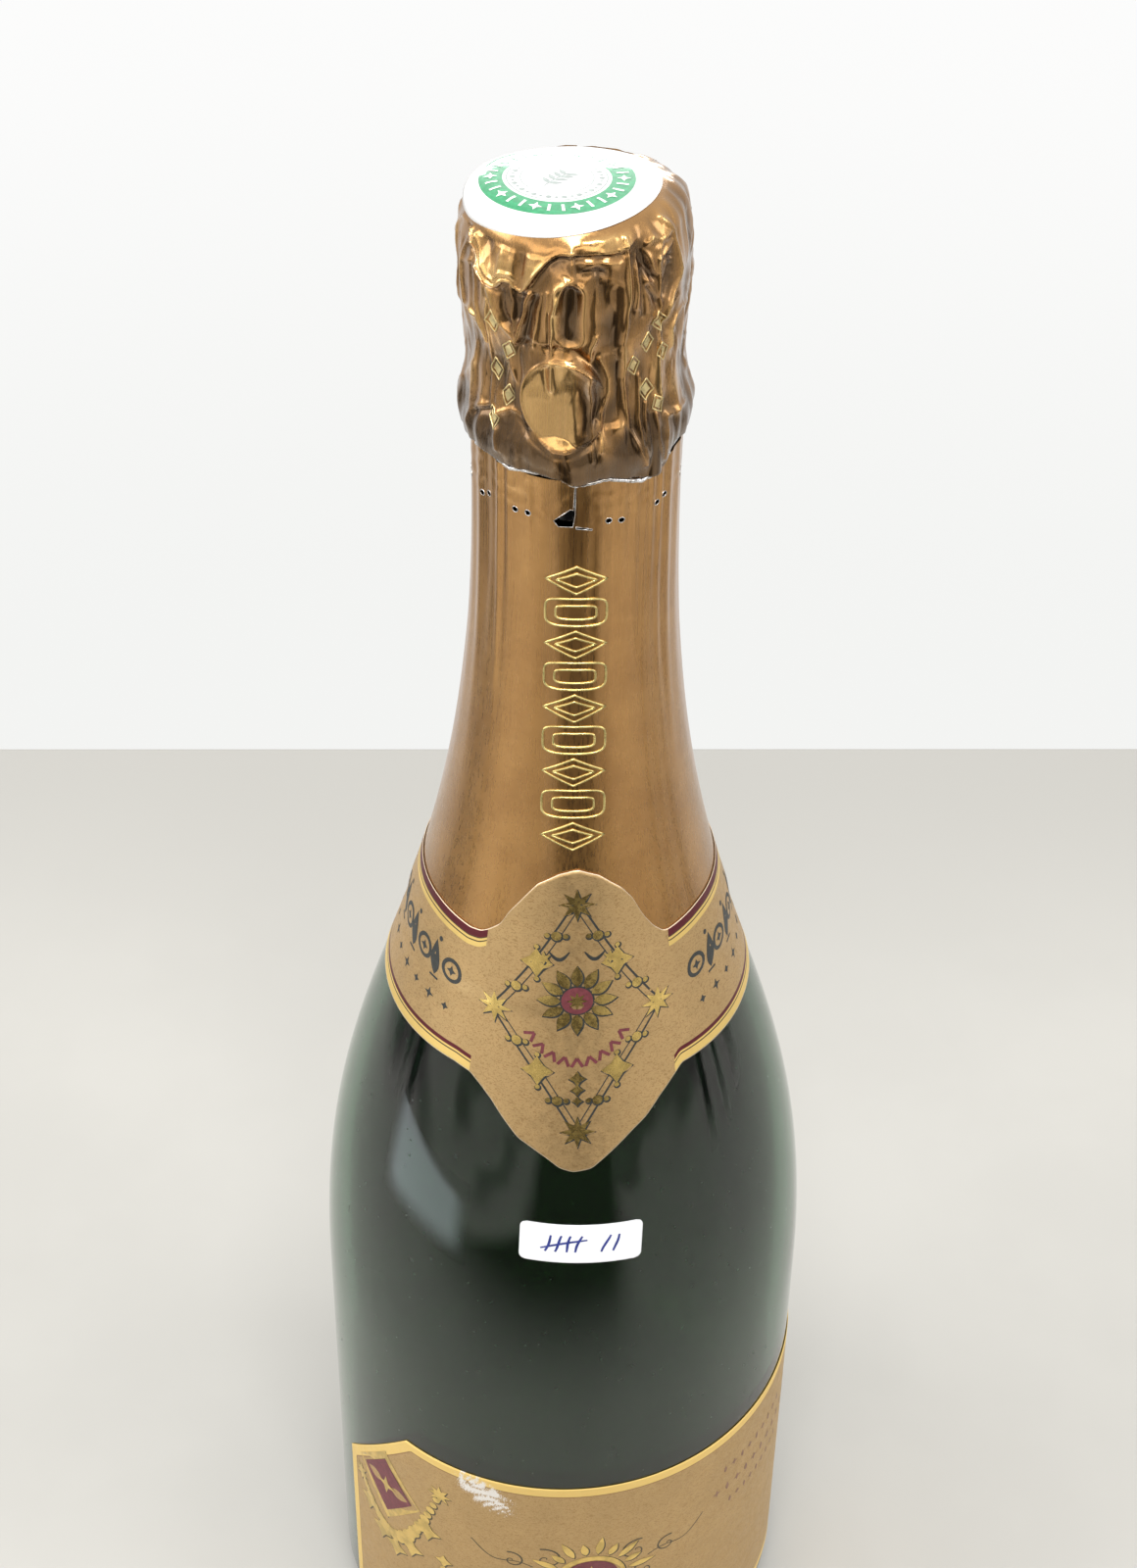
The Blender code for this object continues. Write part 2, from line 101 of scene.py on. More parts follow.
def readSmooth(table, value, span=0.8):
    # the same, rounded off by averaging over a short span either side
    return sum(readTable(table, value + span * step) for step in (-1.0, -0.5, 0.0, 0.5, 1.0)) / 5.0


def bell(value, middle, width):
    # a smooth hump of height 1
    return exp(-((value - middle) / width) ** 2)


def wander(x, y, z):
    # smooth noise from about -1 to 1
    return noise.noise(Vector((x, y, z)))


def shares(count):
    return [i / count for i in range(count + 1)]


def spot(x, y, reach, angle):
    return x + reach * cos(angle), y + reach * sin(angle)


def turned(across, up, angle, x=0.0, y=0.0):
    return x + across * cos(angle) - up * sin(angle), y + across * sin(angle) + up * cos(angle)


def heading(points, i):
    # unit direction of a line of points at its point i
    before, after = points[max(i - 1, 0)], points[min(i + 1, len(points) - 1)]
    dx, dy = after[0] - before[0], after[1] - before[1]
    length = hypot(dx, dy) or 1.0
    return dx / length, dy / length


def bezier(start, startHandle, endHandle, end, count):
    points = []
    for t in shares(count):
        weights = ((1 - t) ** 3, 3 * t * (1 - t) ** 2, 3 * t * t * (1 - t), t ** 3)
        corners = (start, startHandle, endHandle, end)
        points.append(tuple(sum(w * c[k] for w, c in zip(weights, corners)) for k in (0, 1)))
    return points


def circle(radius, x=0.0, y=0.0, count=16):
    return [spot(x, y, radius, 2 * pi * i / count) for i in range(count)]


def alongCorners(corners, count, bow=0.0):
    # points spread along straight sides that bow inwards by a share of their length
    points = []
    for (ax, ay), (bx, by) in zip(corners, corners[1:]):
        for t in shares(count)[:-1]:
            inward = 1.0 - bow * sin(pi * t)
            points.append(((ax + (bx - ax) * t) * inward, (ay + (by - ay) * t) * inward))
    return points + [corners[-1]]


def linked(name, data):
    item = bpy.data.objects.new(name, data)
    bpy.context.scene.collection.objects.link(item)
    return item


def addPiece(name, mesh, material, body, node=None, smooth=True):
    item = linked(name, mesh)
    mesh.materials.clear()
    mesh.materials.append(material)
    if smooth:
        mesh.shade_smooth()
    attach(item, body)
    if node:
        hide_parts(node)
    return item


def meshFrom(bm, name):
    mesh = bpy.data.meshes.new(name)
    bm.to_mesh(mesh)
    bm.free()
    return mesh


def spunMesh(name, points, steps=128, sharp=None):
    # a closed outline from axis to axis, spun a full turn
    bm = bmesh.new()
    ring = [bm.verts.new((r * mm, 0.0, z * mm)) for r, z in points]
    for low, high in zip(ring, ring[1:]):
        bm.edges.new((low, high))
    bmesh.ops.spin(bm, geom=bm.verts[:] + bm.edges[:], cent=(0, 0, 0), axis=(0, 0, 1), dvec=(0, 0, 0),
                   angle=2 * pi, steps=steps, use_merge=True, use_duplicate=False)
    bmesh.ops.remove_doubles(bm, verts=bm.verts[:], dist=0.002 * mm)
    bmesh.ops.recalc_face_normals(bm, faces=bm.faces[:])
    mesh = meshFrom(bm, name)
    mesh.shade_smooth()
    if sharp:
        mesh.set_sharp_from_angle(angle=radians(sharp))
    return mesh


def gridMesh(name, columns, rows, place, closed=False, upward=False, measures=None):
    # a grid laid on a surface: place(across, up) gives the point, with both shares from 0 to 1
    bm = bmesh.new()
    bmesh.ops.create_grid(bm, x_segments=columns, y_segments=rows, size=0.5)
    layers = [(bm.verts.layers.float.new(key), measure) for key, measure in (measures or {}).items()]
    for vertex in bm.verts:
        across, up = vertex.co.x + 0.5, vertex.co.y + 0.5
        for layer, measure in layers:
            vertex[layer] = measure(across, up)
        vertex.co = place(across, up)
    if closed:
        bmesh.ops.remove_doubles(bm, verts=bm.verts[:], dist=0.002 * mm)
    bmesh.ops.recalc_face_normals(bm, faces=bm.faces[:])
    facing = 0.0
    for face in bm.faces:
        outward = Vector((0, 0, 1)) if upward else face.calc_center_median() * Vector((1, 1, 0))
        facing += face.normal.dot(outward)
    if facing < 0:
        bmesh.ops.reverse_faces(bm, faces=bm.faces[:])
    return meshFrom(bm, name)


def thicken(item, thickness, offset=-1.0):
    solid = item.modifiers.new("thickness", "SOLIDIFY")
    solid.thickness = thickness * mm
    solid.offset = offset
    solid.use_even_offset = False
    return item


def applied(item):
    # the evaluated mesh of an object, which is then removed
    depsgraph = bpy.context.evaluated_depsgraph_get()
    mesh = bpy.data.meshes.new_from_object(item.evaluated_get(depsgraph))
    bpy.data.objects.remove(item, do_unlink=True)
    return mesh


def tubeMesh(name, paths, radius, cyclic=False, sides=2):
    # round wires or raised lines along lists of points, in metres
    curve = bpy.data.curves.new(name, "CURVE")
    curve.dimensions = "3D"
    curve.bevel_depth = radius * mm
    curve.bevel_resolution = sides
    curve.use_fill_caps = True
    for path in paths:
        spline = curve.splines.new("POLY")
        spline.points.add(len(path) - 1)
        for point, place in zip(spline.points, path):
            point.co = (*place, 1.0)
        spline.use_cyclic_u = cyclic
    item = linked(name, curve)
    bpy.context.view_layer.update()
    mesh = applied(item)
    bm = bmesh.new()
    bm.from_mesh(mesh)
    bmesh.ops.remove_doubles(bm, verts=bm.verts[:], dist=0.001 * mm)
    bmesh.ops.recalc_face_normals(bm, faces=bm.faces[:])
    bm.to_mesh(mesh)
    bm.free()
    return mesh


# Small tools for materials
def newMaterial(name):
    material = bpy.data.materials.new(name)
    material.use_nodes = True
    return material


def toned(colour, share):
    return tuple(share * channel for channel in colour)


def addNode(owner, kind, inputs=None, **settings):
    # the owner of a node is a material or the world
    node = owner.node_tree.nodes.new(kind)
    for key, value in settings.items():
        setattr(node, key, value)
    for key, value in (inputs or {}).items():
        feed(owner, node.inputs[key], value)
    return node


def feed(owner, socket, value):
    # a socket takes a number or colour, or a link from another socket
    if isinstance(value, bpy.types.NodeSocket):
        owner.node_tree.links.new(value, socket)
    elif isinstance(value, (tuple, list)) and len(socket.default_value) == 4 and len(value) == 3:
        socket.default_value = (*value, 1.0)
    else:
        socket.default_value = value


def setShader(material, values):
    for key, value in values.items():
        feed(material, material.node_tree.nodes["Principled BSDF"].inputs[key], value)
    return material


def calc(owner, operation, *values):
    return addNode(owner, "ShaderNodeMath", dict(enumerate(values)), operation=operation).outputs[0]


def product(owner, first, *others):
    for value in others:
        first = calc(owner, "MULTIPLY", first, value)
    return first


def fromAxis(owner, x, y):
    return calc(owner, "SQRT", calc(owner, "MULTIPLY_ADD", x, x, calc(owner, "MULTIPLY", y, y)))


def blendColour(owner, share, first, second, mode="MIX"):
    inputs = {0: share, 6: first, 7: second}
    return addNode(owner, "ShaderNodeMix", inputs, data_type="RGBA", blend_type=mode).outputs[2]


def ramp(owner, share, low, high, lowValue=0.0, highValue=1.0):
    # a soft step between two values
    limits = {"Value": share, "From Min": low, "From Max": high, "To Min": lowValue, "To Max": highValue}
    return addNode(owner, "ShaderNodeMapRange", limits, interpolation_type="SMOOTHSTEP").outputs[0]


def objectPlace(owner, stretch=None):
    place = addNode(owner, "ShaderNodeTexCoord").outputs["Object"]
    if not stretch:
        return place
    return addNode(owner, "ShaderNodeMapping", {"Vector": place, "Scale": stretch}).outputs[0]


def splitPlace(owner):
    return addNode(owner, "ShaderNodeSeparateXYZ", {"Vector": objectPlace(owner)}).outputs


def grain(owner, size, detail=3.0, roughness=0.55, stretch=None, distortion=0.0):
    # noise whose features are about size millimetres across
    settings = {"Vector": objectPlace(owner, stretch), "Scale": 1.0 / (size * mm), "Detail": detail,
                "Roughness": roughness, "Distortion": distortion}
    return addNode(owner, "ShaderNodeTexNoise", settings).outputs[0]


def mottle(owner, size, first, second, low=0.35, high=0.65, detail=3.0):
    # one colour with soft patches of another
    return blendColour(owner, ramp(owner, grain(owner, size, detail), low, high), first, second)


def mottledMaterial(name, size, first, second, values, low=0.35, high=0.65, detail=3.0):
    material = newMaterial(name)
    tone = mottle(material, size, first, second, low, high, detail)
    return setShader(material, {"Base Color": tone, **values})


def relief(material, height, distance, strength):
    values = {"Height": height, "Distance": distance * mm, "Strength": strength}
    bump = addNode(material, "ShaderNodeBump", values)
    setShader(material, {"Normal": bump.outputs[0]})


def attribute(owner, name):
    return addNode(owner, "ShaderNodeAttribute", attribute_name=name).outputs["Fac"]


# Floor, world and lamps
room = {
    "floorColour": (0.557, 0.547, 0.513),
    "floorWidth": 3600.0,
    "floorFront": -1600.0,
    "floorBack": 251.8,
    "floorSkew": 0.0278,
    "floorThickness": 30.0,
    "floorRound": 1.5,
    "wallColour": (0.975, 0.975, 0.97),
    "wallLowColour": (0.9, 0.905, 0.89),
    "skyColour": (1.0, 0.99, 0.975),
    "skyStrength": 0.95,
    "frontShade": 0.2,
    # lamps: name, place, size and power; all face the aim
    "lamps": [("left_window", (-900.0, -150.0, 620.0), (520.0, 700.0), 4.0),
              ("right_window", (850.0, -260.0, 560.0), (420.0, 560.0), 2.0),
              ("ceiling_light", (40.0, -560.0, 1150.0), (420.0, 260.0), 6.0)],
    "lampAim": (0.0, 0.0, 160.0),
    # shade on the floor: width, depth, middle and height of its card
    "shade": (2400.0, 1820.0, -670.0, 1.0),
    # what else stands round the bottle, seen only as reflections: azimuth, distance, width, foot, height
    "posts": [(-101.0, 262.0, 45.0, 38.0, 190.0), (-90.0, 268.0, 18.0, 38.0, 210.0),
              (-82.0, 262.0, 33.0, 38.0, 150.0), (74.0, 268.0, 27.0, 38.0, 170.0),
              (85.0, 262.0, 21.0, 38.0, 210.0), (98.0, 266.0, 45.0, 38.0, 190.0)],
    "pane": (-63.0, 205.0, 165.0, 21.0, 58.0),
    "paneColour": (0.92, 1.0, 1.02),
    "paneStrength": 2.6,
    "cards": [("back_glare", (180.0, 800.0, 502.65, 325.0, 155.0), 7.0, (1.0, 1.0, 1.0)),
              ("front_glow", (-13.5, 900.0, 1303.76, 420.0, 300.0), 2.6, (1.0, 0.92, 0.78))],
}


def floorMaterial():
    table, colour = newMaterial("table_top"), room["floorColour"]
    tone = mottle(table, 60.0, colour, toned(colour, 0.965), detail=4.0)
    # painted shade: the table top is darker towards its back edge
    back = ramp(table, splitPlace(table)["Y"], 120.0 * mm, 250.0 * mm)
    tone = blendColour(table, back, tone, toned(colour, 0.86))
    return setShader(table, {"Base Color": tone, "Roughness": 0.75, "Specular IOR Level": 0.2})


def stagePiece(name, bm, material, reflectionOnly=True):
    item = linked(name, meshFrom(bm, name))
    item.data.materials.append(material)
    if reflectionOnly:
        item.visible_camera = item.visible_diffuse = item.visible_shadow = False


def bentCards(name, material, columns, rows, cards):
    # upright cards bent round the bottle's axis, with each point's place on its card as attributes
    bm = bmesh.new()
    layers = [bm.verts.layers.float.new(key) for key in ("side", "rise")]
    for azimuth, distance, width, foot, height in cards:
        for vertex in bmesh.ops.create_grid(bm, x_segments=columns, y_segments=rows, size=0.5)["verts"]:
            side, rise = vertex.co.x, vertex.co.y
            vertex[layers[0]], vertex[layers[1]] = side, rise
            vertex.co = around(distance, azimuth + degrees(side * width / distance),
                               foot + (rise + 0.5) * height)
    stagePiece(name, bm, material)


def shadeMaterial():
    # darkness on the floor before the bottle, between two slanting lines, and blotches farther off
    shade = newMaterial("floor_shade")
    x, y, _ = splitPlace(shade)
    across, out = calc(shade, "DIVIDE", x, mm), calc(shade, "DIVIDE", y, -mm)
    left = calc(shade, "MINIMUM", calc(shade, "MULTIPLY_ADD", out, 0.8, -362.0),
                calc(shade, "MULTIPLY_ADD", out, -0.1, -65.0))
    right = calc(shade, "MULTIPLY_ADD", out, 0.4, 20.0)
    near = product(shade, ramp(shade, out, 95.0, 260.0),
                   ramp(shade, calc(shade, "SUBTRACT", across, left), -35.0, 35.0),
                   ramp(shade, calc(shade, "SUBTRACT", right, across), -35.0, 35.0))
    blotches = ramp(shade, grain(shade, 190.0, 0.5), 0.46, 0.62, 0.0, 0.7)
    far = calc(shade, "MULTIPLY_ADD", calc(shade, "MAXIMUM", across, 0.0), -0.3, fromAxis(shade, across, out))
    mask = calc(shade, "MAXIMUM", near, product(shade, blotches, ramp(shade, far, 310.0, 380.0)))
    return setShader(shade, {"Base Color": (0.035, 0.032, 0.03), "Roughness": 0.9, "Alpha": mask})


def postMaterial():
    post = newMaterial("dark_post")
    side, rise = (calc(post, "ABSOLUTE", attribute(post, key)) for key in ("side", "rise"))
    mask = product(post, ramp(post, side, 0.5, 0.12), ramp(post, rise, 0.5, 0.3))
    return setShader(post, {"Base Color": (0.02, 0.02, 0.018), "Roughness": 0.8, "Alpha": mask})


def litMaterial(name, colour, strength, mask=None):
    # light that is even all over, or clear where a mask is 0
    light = newMaterial(name)
    light.node_tree.nodes.clear()
    shown = addNode(light, "ShaderNodeEmission", {"Color": colour, "Strength": strength}).outputs[0]
    if mask:
        clear = addNode(light, "ShaderNodeBsdfTransparent").outputs[0]
        shown = addNode(light, "ShaderNodeMixShader", {0: mask(light), 1: clear, 2: shown}).outputs[0]
    addNode(light, "ShaderNodeOutputMaterial", {"Surface": shown})
    return light


def paneMask(pane):
    # fades out towards the edges, and has one slanting corner
    side, rise = attribute(pane, "side"), attribute(pane, "rise")
    slant = calc(pane, "MULTIPLY_ADD", side, 0.35, rise)
    return product(pane, ramp(pane, calc(pane, "ABSOLUTE", side), 0.5, 0.3), ramp(pane, rise, -0.5, -0.1),
                   ramp(pane, slant, 0.5, 0.36))


def makeRoom():
    bm = bmesh.new()
    bmesh.ops.create_cube(bm, size=1.0)
    depth = room["floorBack"] - room["floorFront"]
    for vertex in bm.verts:
        x, y = vertex.co.x * room["floorWidth"], vertex.co.y * depth + room["floorFront"] + depth / 2
        if vertex.co.y > 0:
            y += x * room["floorSkew"]
        vertex.co = Vector((x, y, (vertex.co.z - 0.5) * room["floorThickness"])) * mm
    bmesh.ops.bevel(bm, geom=bm.edges[:], offset=room["floorRound"] * mm, segments=3, affect="EDGES",
                    profile=0.5, material=-1)
    stagePiece("table_top", bm, floorMaterial(), reflectionOnly=False)

    bm = bmesh.new()
    bmesh.ops.create_grid(bm, x_segments=1, y_segments=1, size=0.5)
    wide, deep, middle, level = room["shade"]
    for vertex in bm.verts:
        vertex.co = Vector((vertex.co.x * wide, vertex.co.y * deep + middle, level)) * mm
    stagePiece("floor_shade", bm, shadeMaterial())

    bentCards("dark_posts", postMaterial(), 4, 8, room["posts"])
    pane = litMaterial("window_pane", room["paneColour"], room["paneStrength"], paneMask)
    bentCards("window_pane", pane, 6, 6, [room["pane"]])
    for name, card, strength, colour in room["cards"]:
        bentCards(name, litMaterial(name, colour, strength), 12, 1, [card])

    for name, place, size, power in room["lamps"]:
        lamp = bpy.data.lights.new(name, "AREA")
        lamp.shape = "RECTANGLE"
        lamp.size, lamp.size_y = (side * mm for side in size)
        lamp.energy = power
        item = linked(name, lamp)
        item.location = Vector(place) * mm
        item.rotation_mode = "QUATERNION"
        item.rotation_quaternion = (Vector(room["lampAim"]) * mm - item.location).to_track_quat("-Z", "Y")


def makeWorld():
    world = bpy.data.worlds.new("studio")
    bpy.context.scene.world = world
    world.use_nodes = True
    world.node_tree.nodes.clear()
    direction = addNode(world, "ShaderNodeTexCoord").outputs["Generated"]
    east, north, up = addNode(world, "ShaderNodeSeparateXYZ", {0: direction}).outputs
    # the side of the room behind the camera is dark, and the ceiling is brightest
    bearing = calc(world, "DIVIDE", east, calc(world, "MINIMUM", north, -0.01))
    darkSide = product(world, ramp(world, bearing, 0.36, 0.12), ramp(world, bearing, -0.62, -0.3),
                       ramp(world, up, 0.84, 0.66), ramp(world, north, -0.25, -0.02, 1.0, 0.0))
    factor = calc(world, "SUBTRACT", 1.0, product(world, darkSide, 1.0 - room["frontShade"]))
    strength = product(world, factor, ramp(world, up, -0.1, 0.9, 0.82, 1.15), room["skyStrength"])
    lit = addNode(world, "ShaderNodeBackground", {"Color": room["skyColour"], "Strength": strength})
    # the camera sees a plain pale wall
    wall = blendColour(world, ramp(world, up, -0.62, -0.42), room["wallLowColour"], room["wallColour"])
    seen = addNode(world, "ShaderNodeBackground", {"Color": wall, "Strength": 1.0})
    fromCamera = addNode(world, "ShaderNodeLightPath").outputs["Is Camera Ray"]
    mixed = addNode(world, "ShaderNodeMixShader", {0: fromCamera, 1: lit.outputs[0], 2: seen.outputs[0]})
    addNode(world, "ShaderNodeOutputWorld", {"Surface": mixed.outputs[0]})


makeRoom()
makeWorld()
bpy.context.scene.view_settings.view_transform = "Standard"
print("room lit")


# Glass
glass = {
    "height": 300.0,
    "bodyRadius": 43.7,
    "shoulderHeight": 96.0,
    "shoulderReach": 73.0,
    "neckRadius": 14.7,
    "neckHeight": 279.0,
    "neckReach": 107.0,
    "heelRadius": 7.5,
    "seatInner": 32.5,
    "seatRound": 1.25,
    "puntDepth": 30.0,
    "bodyWall": 3.7,
    "neckWall": 4.9,
    "baseWall": 5.5,
    "grooveRadius": 33.5,
    "floorCorner": 10.0,
    "boreRadius": 8.75,
    "boreLength": 27.0,
    "boreTaper": 12.0,
    "beadRadius": 15.8,
    "beadLow": 280.9,
    "beadHeight": 6.3,
    "finishRadius": 13.3,
    "crownRadius": 14.3,
    "crownHeight": 5.2,
    "lipRound": 0.9,
    "fillHeight": 232.0,
    "wineGap": 0.3,
    "steps": 144,
    "greens": ((0.05, 0.125, 0.075), (0.07, 0.16, 0.095)),
    "wineGolds": ((0.86, 0.74, 0.4), (0.82, 0.69, 0.34)),
}
shoulderCurve = bezier((glass["neckRadius"], glass["neckHeight"]),
                       (glass["neckRadius"], glass["neckHeight"] - glass["neckReach"]),
                       (glass["bodyRadius"], glass["shoulderHeight"] + glass["shoulderReach"]),
                       (glass["bodyRadius"], glass["shoulderHeight"]), 64)
shoulderTable = [(z, r) for r, z in reversed(shoulderCurve)]


def glassRadius(height):
    return readTable(shoulderTable, height)


def roundCorner(centreR, centreZ, radius, first, last, count):
    return [spot(centreR, centreZ, radius, radians(first + (last - first) * t)) for t in shares(count)]


def innerOutline():
    wall = glass["bodyRadius"] - glass["bodyWall"]
    top = glass["puntDepth"] + glass["baseWall"]
    groove = glass["grooveRadius"]
    floorLine = bezier((0.0, top), (groove * 0.55, top), (groove * 0.86, glass["baseWall"]),
                       (groove, glass["baseWall"]), 18)
    corner = bezier((groove, glass["baseWall"]), (wall, glass["baseWall"]), (wall, glass["baseWall"]),
                    (wall, glass["baseWall"] + glass["floorCorner"]), 8)
    boreFoot = glass["height"] - glass["boreLength"]
    neckFoot = boreFoot - glass["boreTaper"]
    inner = glass["neckRadius"] - glass["neckWall"]
    rise = bezier((wall, glass["shoulderHeight"]), (wall, glass["shoulderHeight"] + glass["shoulderReach"]),
                  (inner, neckFoot - glass["neckReach"] * 0.85), (inner, neckFoot), 36)
    return floorLine + corner[1:] + rise + [(glass["boreRadius"], boreFoot)]


def glassOutline():
    lip, crown = glass["lipRound"], glass["crownRadius"]
    top, beadTop = glass["height"], glass["beadLow"] + glass["beadHeight"]
    mouth = (roundCorner(glass["boreRadius"] + lip, top - lip, lip, 180, 90, 5)
             + roundCorner(crown - lip, top - lip, lip, 90, 0, 5))
    crownLow = top - glass["crownHeight"]
    collar = roundCorner(crown - lip, crownLow + lip, lip, 0, -90, 5)
    waist = [(glass["finishRadius"], crownLow - lip), (glass["finishRadius"], beadTop + lip)]
    half = glass["beadHeight"] / 2
    depth = glass["beadRadius"] - glass["neckRadius"]
    bead = [(glass["neckRadius"] + depth * sqrt(max(0.0, 1 - ((z - half) / half) ** 2) ** 0.7),
             glass["beadLow"] + z) for z in [glass["beadHeight"] * (1 - t) for t in shares(14)]]
    foot = glass["heelRadius"]
    heel = roundCorner(glass["bodyRadius"] - foot, foot, foot, 0, -90, 12)
    seat, edge, punt = glass["seatInner"], glass["seatRound"], glass["puntDepth"]
    hollow = bezier((seat - edge, edge), (seat * 0.85, punt / 2), (seat / 2, punt), (0.0, punt), 20)
    return innerOutline() + mouth + collar + waist + bead + shoulderCurve + heel + [(seat, 0.0)] + hollow


def glassMaterial():
    # dark green bottle glass, a little wavy, with dust specks and fine rubs
    green = newMaterial("bottle_glass")
    specks = ramp(green, grain(green, 1.1, 1.0, 0.2), 0.77, 0.81)
    rubs = ramp(green, grain(green, 3.0, 4.0, stretch=(1.0, 1.0, 0.25)), 0.58, 0.75)
    rough = calc(green, "ADD", 0.035, calc(green, "MULTIPLY_ADD", specks, 0.3, product(green, rubs, 0.05)))
    relief(green, grain(green, 26.0, 1.0, stretch=(1.0, 1.0, 0.45)), 0.35, 0.35)
    return setShader(green, {"Base Color": mottle(green, 45.0, *glass["greens"], 0.3, 0.7, 2.0),
                             "Transmission Weight": 1.0, "IOR": 1.52, "Roughness": rough})


def wineMaterial():
    values = {"Transmission Weight": 1.0, "IOR": 1.34, "Roughness": 0.0}
    return mottledMaterial("wine", 70.0, *glass["wineGolds"], values, 0.3, 0.7, 1.0)


def makeGlass():
    mesh = spunMesh("bottle_glass", glassOutline(), glass["steps"], sharp=50)
    addPiece("bottle_glass", mesh, glassMaterial(), "bottle", "glass_bottle", smooth=False)


def makeWine():
    gap, top = glass["wineGap"], glass["fillHeight"]
    wetted = [point for point in innerOutline() if point[1] < top]
    skin = []
    for i, (r, z) in enumerate(wetted):
        dr, dz = heading(wetted, i)
        skin.append((max(r - dz * gap, 0.0), z + dr * gap))
    skin[0] = (0.0, skin[0][1])
    surface = [(skin[-1][0] - gap, top), (0.0, top)]
    mesh = spunMesh("wine_fill", skin + surface, 96, sharp=40)
    addPiece("wine_fill", mesh, wineMaterial(), "bottle", "wine", smooth=False)


makeGlass()
makeWine()
print("glass and wine made")


# Foil on the neck
neckFoil = {
    "gap": 0.3,
    "thickness": 0.1,
    "flare": 0.5,
    "skirtLow": 184.0,
    "skirtHigh": 272.0,
    "flareLow": 242.6,
    "stripHigh": 279.3,
    "columns": 288,
    "skirtRows": 110,
    "stripRows": 22,
    "bronze": (0.50, 0.265, 0.085),
    "darkBronze": (0.43, 0.22, 0.068),
    # gold of the painted highlight on the hood's fold crests
    "crestHighlight": (0.70, 0.45, 0.17),
    "worn": (0.5, 0.3, 0.14),
    "bare": ((0.86, 0.87, 0.9), (0.5, 0.46, 0.42)),
    # pleats of the skirt: azimuth, width in degrees, height, and how far down they fade
    "pleats": [(-64, 3.2, 0.34, 205), (-55, 2.4, -0.2, 230), (-46, 1.5, 0.4, 222), (-39, 1.2, 0.26, 250),
               (-42, 1.1, -0.2, 240), (-76, 4.0, 0.3, 220), (38, 2.2, -0.14, 240), (46, 1.3, 0.3, 240),
               (52, 1.2, 0.42, 228), (56, 1.6, -0.24, 226), (62, 2.8, 0.34, 210), (74, 4.0, 0.28, 224),
               (95, 5.0, 0.3, 215), (118, 4.0, -0.22, 225), (139, 5.0, 0.32, 212), (163, 4.0, 0.24, 230),
               (-170, 4.0, -0.2, 226), (-148, 5.0, 0.3, 214), (-122, 4.0, 0.26, 228),
               (-99, 4.0, -0.18, 232), (27, 1.6, 0.1, 258), (-26, 1.6, 0.1, 260)],
    # holes of the lower perforation, and the torn start of the strip
    "holes": [(-61.0, 271.4), (-54.8, 272.2), (-34.2, 272.3), (-26.2, 272.5), (18.3, 271.9), (25.6, 271.6),
              (49.6, 272.0), (57.0, 272.3), (-84.0, 272.0), (-77.0, 272.0), (81.0, 272.0), (88.0, 272.0)]
             + [(azimuth, 272.0) for azimuth in range(104, 260, 9)],
    "holeRadius": 0.48,
    "cutReach": 3.0,
    "tears": [[(-11.6, 272.1), (-2.6, 274.3), (-0.9, 274.2), (-0.1, 280.2), (0.35, 280.2), (0.0, 273.4),
               (-1.0, 271.2), (-9.0, 271.1)], [(0.6, 271.25), (9.4, 270.75), (9.3, 270.5), (0.7, 270.85)]],
    # bare cut edge along the strip's top: azimuth and height
    "cutEdge": [(-64, 279.9), (-56, 280.6), (-48, 280.7), (-42, 280.1), (-36, 279.7), (-27, 280.3),
                (-18, 280.5), (-9, 280.3), (-4, 279.4), (0, 278.9), (7, 279.3), (16, 279.8), (26, 278.9),
                (36, 277.9), (44, 278.2), (50, 279.6), (56, 280.3)],
    "rimRadius": 0.07,
    "cutEdgeRadius": 0.36,
}


def foilRadius(height):
    low, high = neckFoil["flareLow"], neckFoil["stripHigh"]
    flare = neckFoil["flare"] * max(0.0, (height - low) / (high - low))
    return glassRadius(min(height, glass["neckHeight"])) + neckFoil["gap"] + neckFoil["thickness"] + flare


def turnedAngle(azimuth, centre):
    return (azimuth - centre + 180.0) % 360.0 - 180.0


def pleatHeight(azimuth, height):
    total = 0.0
    for centre, width, rise, fade in neckFoil["pleats"]:
        away = turnedAngle(azimuth, centre + 1.5 * wander(centre, height * 0.05, 3.0)) / width
        if abs(away) < 3.0:
            total += rise * exp(-away * away) * between(height, fade, 276.0)
    wrinkle = wander(azimuth * 0.16, height * 0.035, 7.0)
    return total * 0.8 + 0.07 * wrinkle * between(height, 200.0, 262.0)


def neckFoilPoint(azimuth, height, lift=0.0):
    fold = pleatHeight(azimuth, height)
    if height > 269.0:
        crease = abs(wander(azimuth * 0.11, height * 0.42, 1.0))
        fold += 0.14 * (0.22 - crease) * between(height, 269.0, 273.5)
    return around(foilRadius(height) + max(fold, -0.12) + lift, azimuth, height)


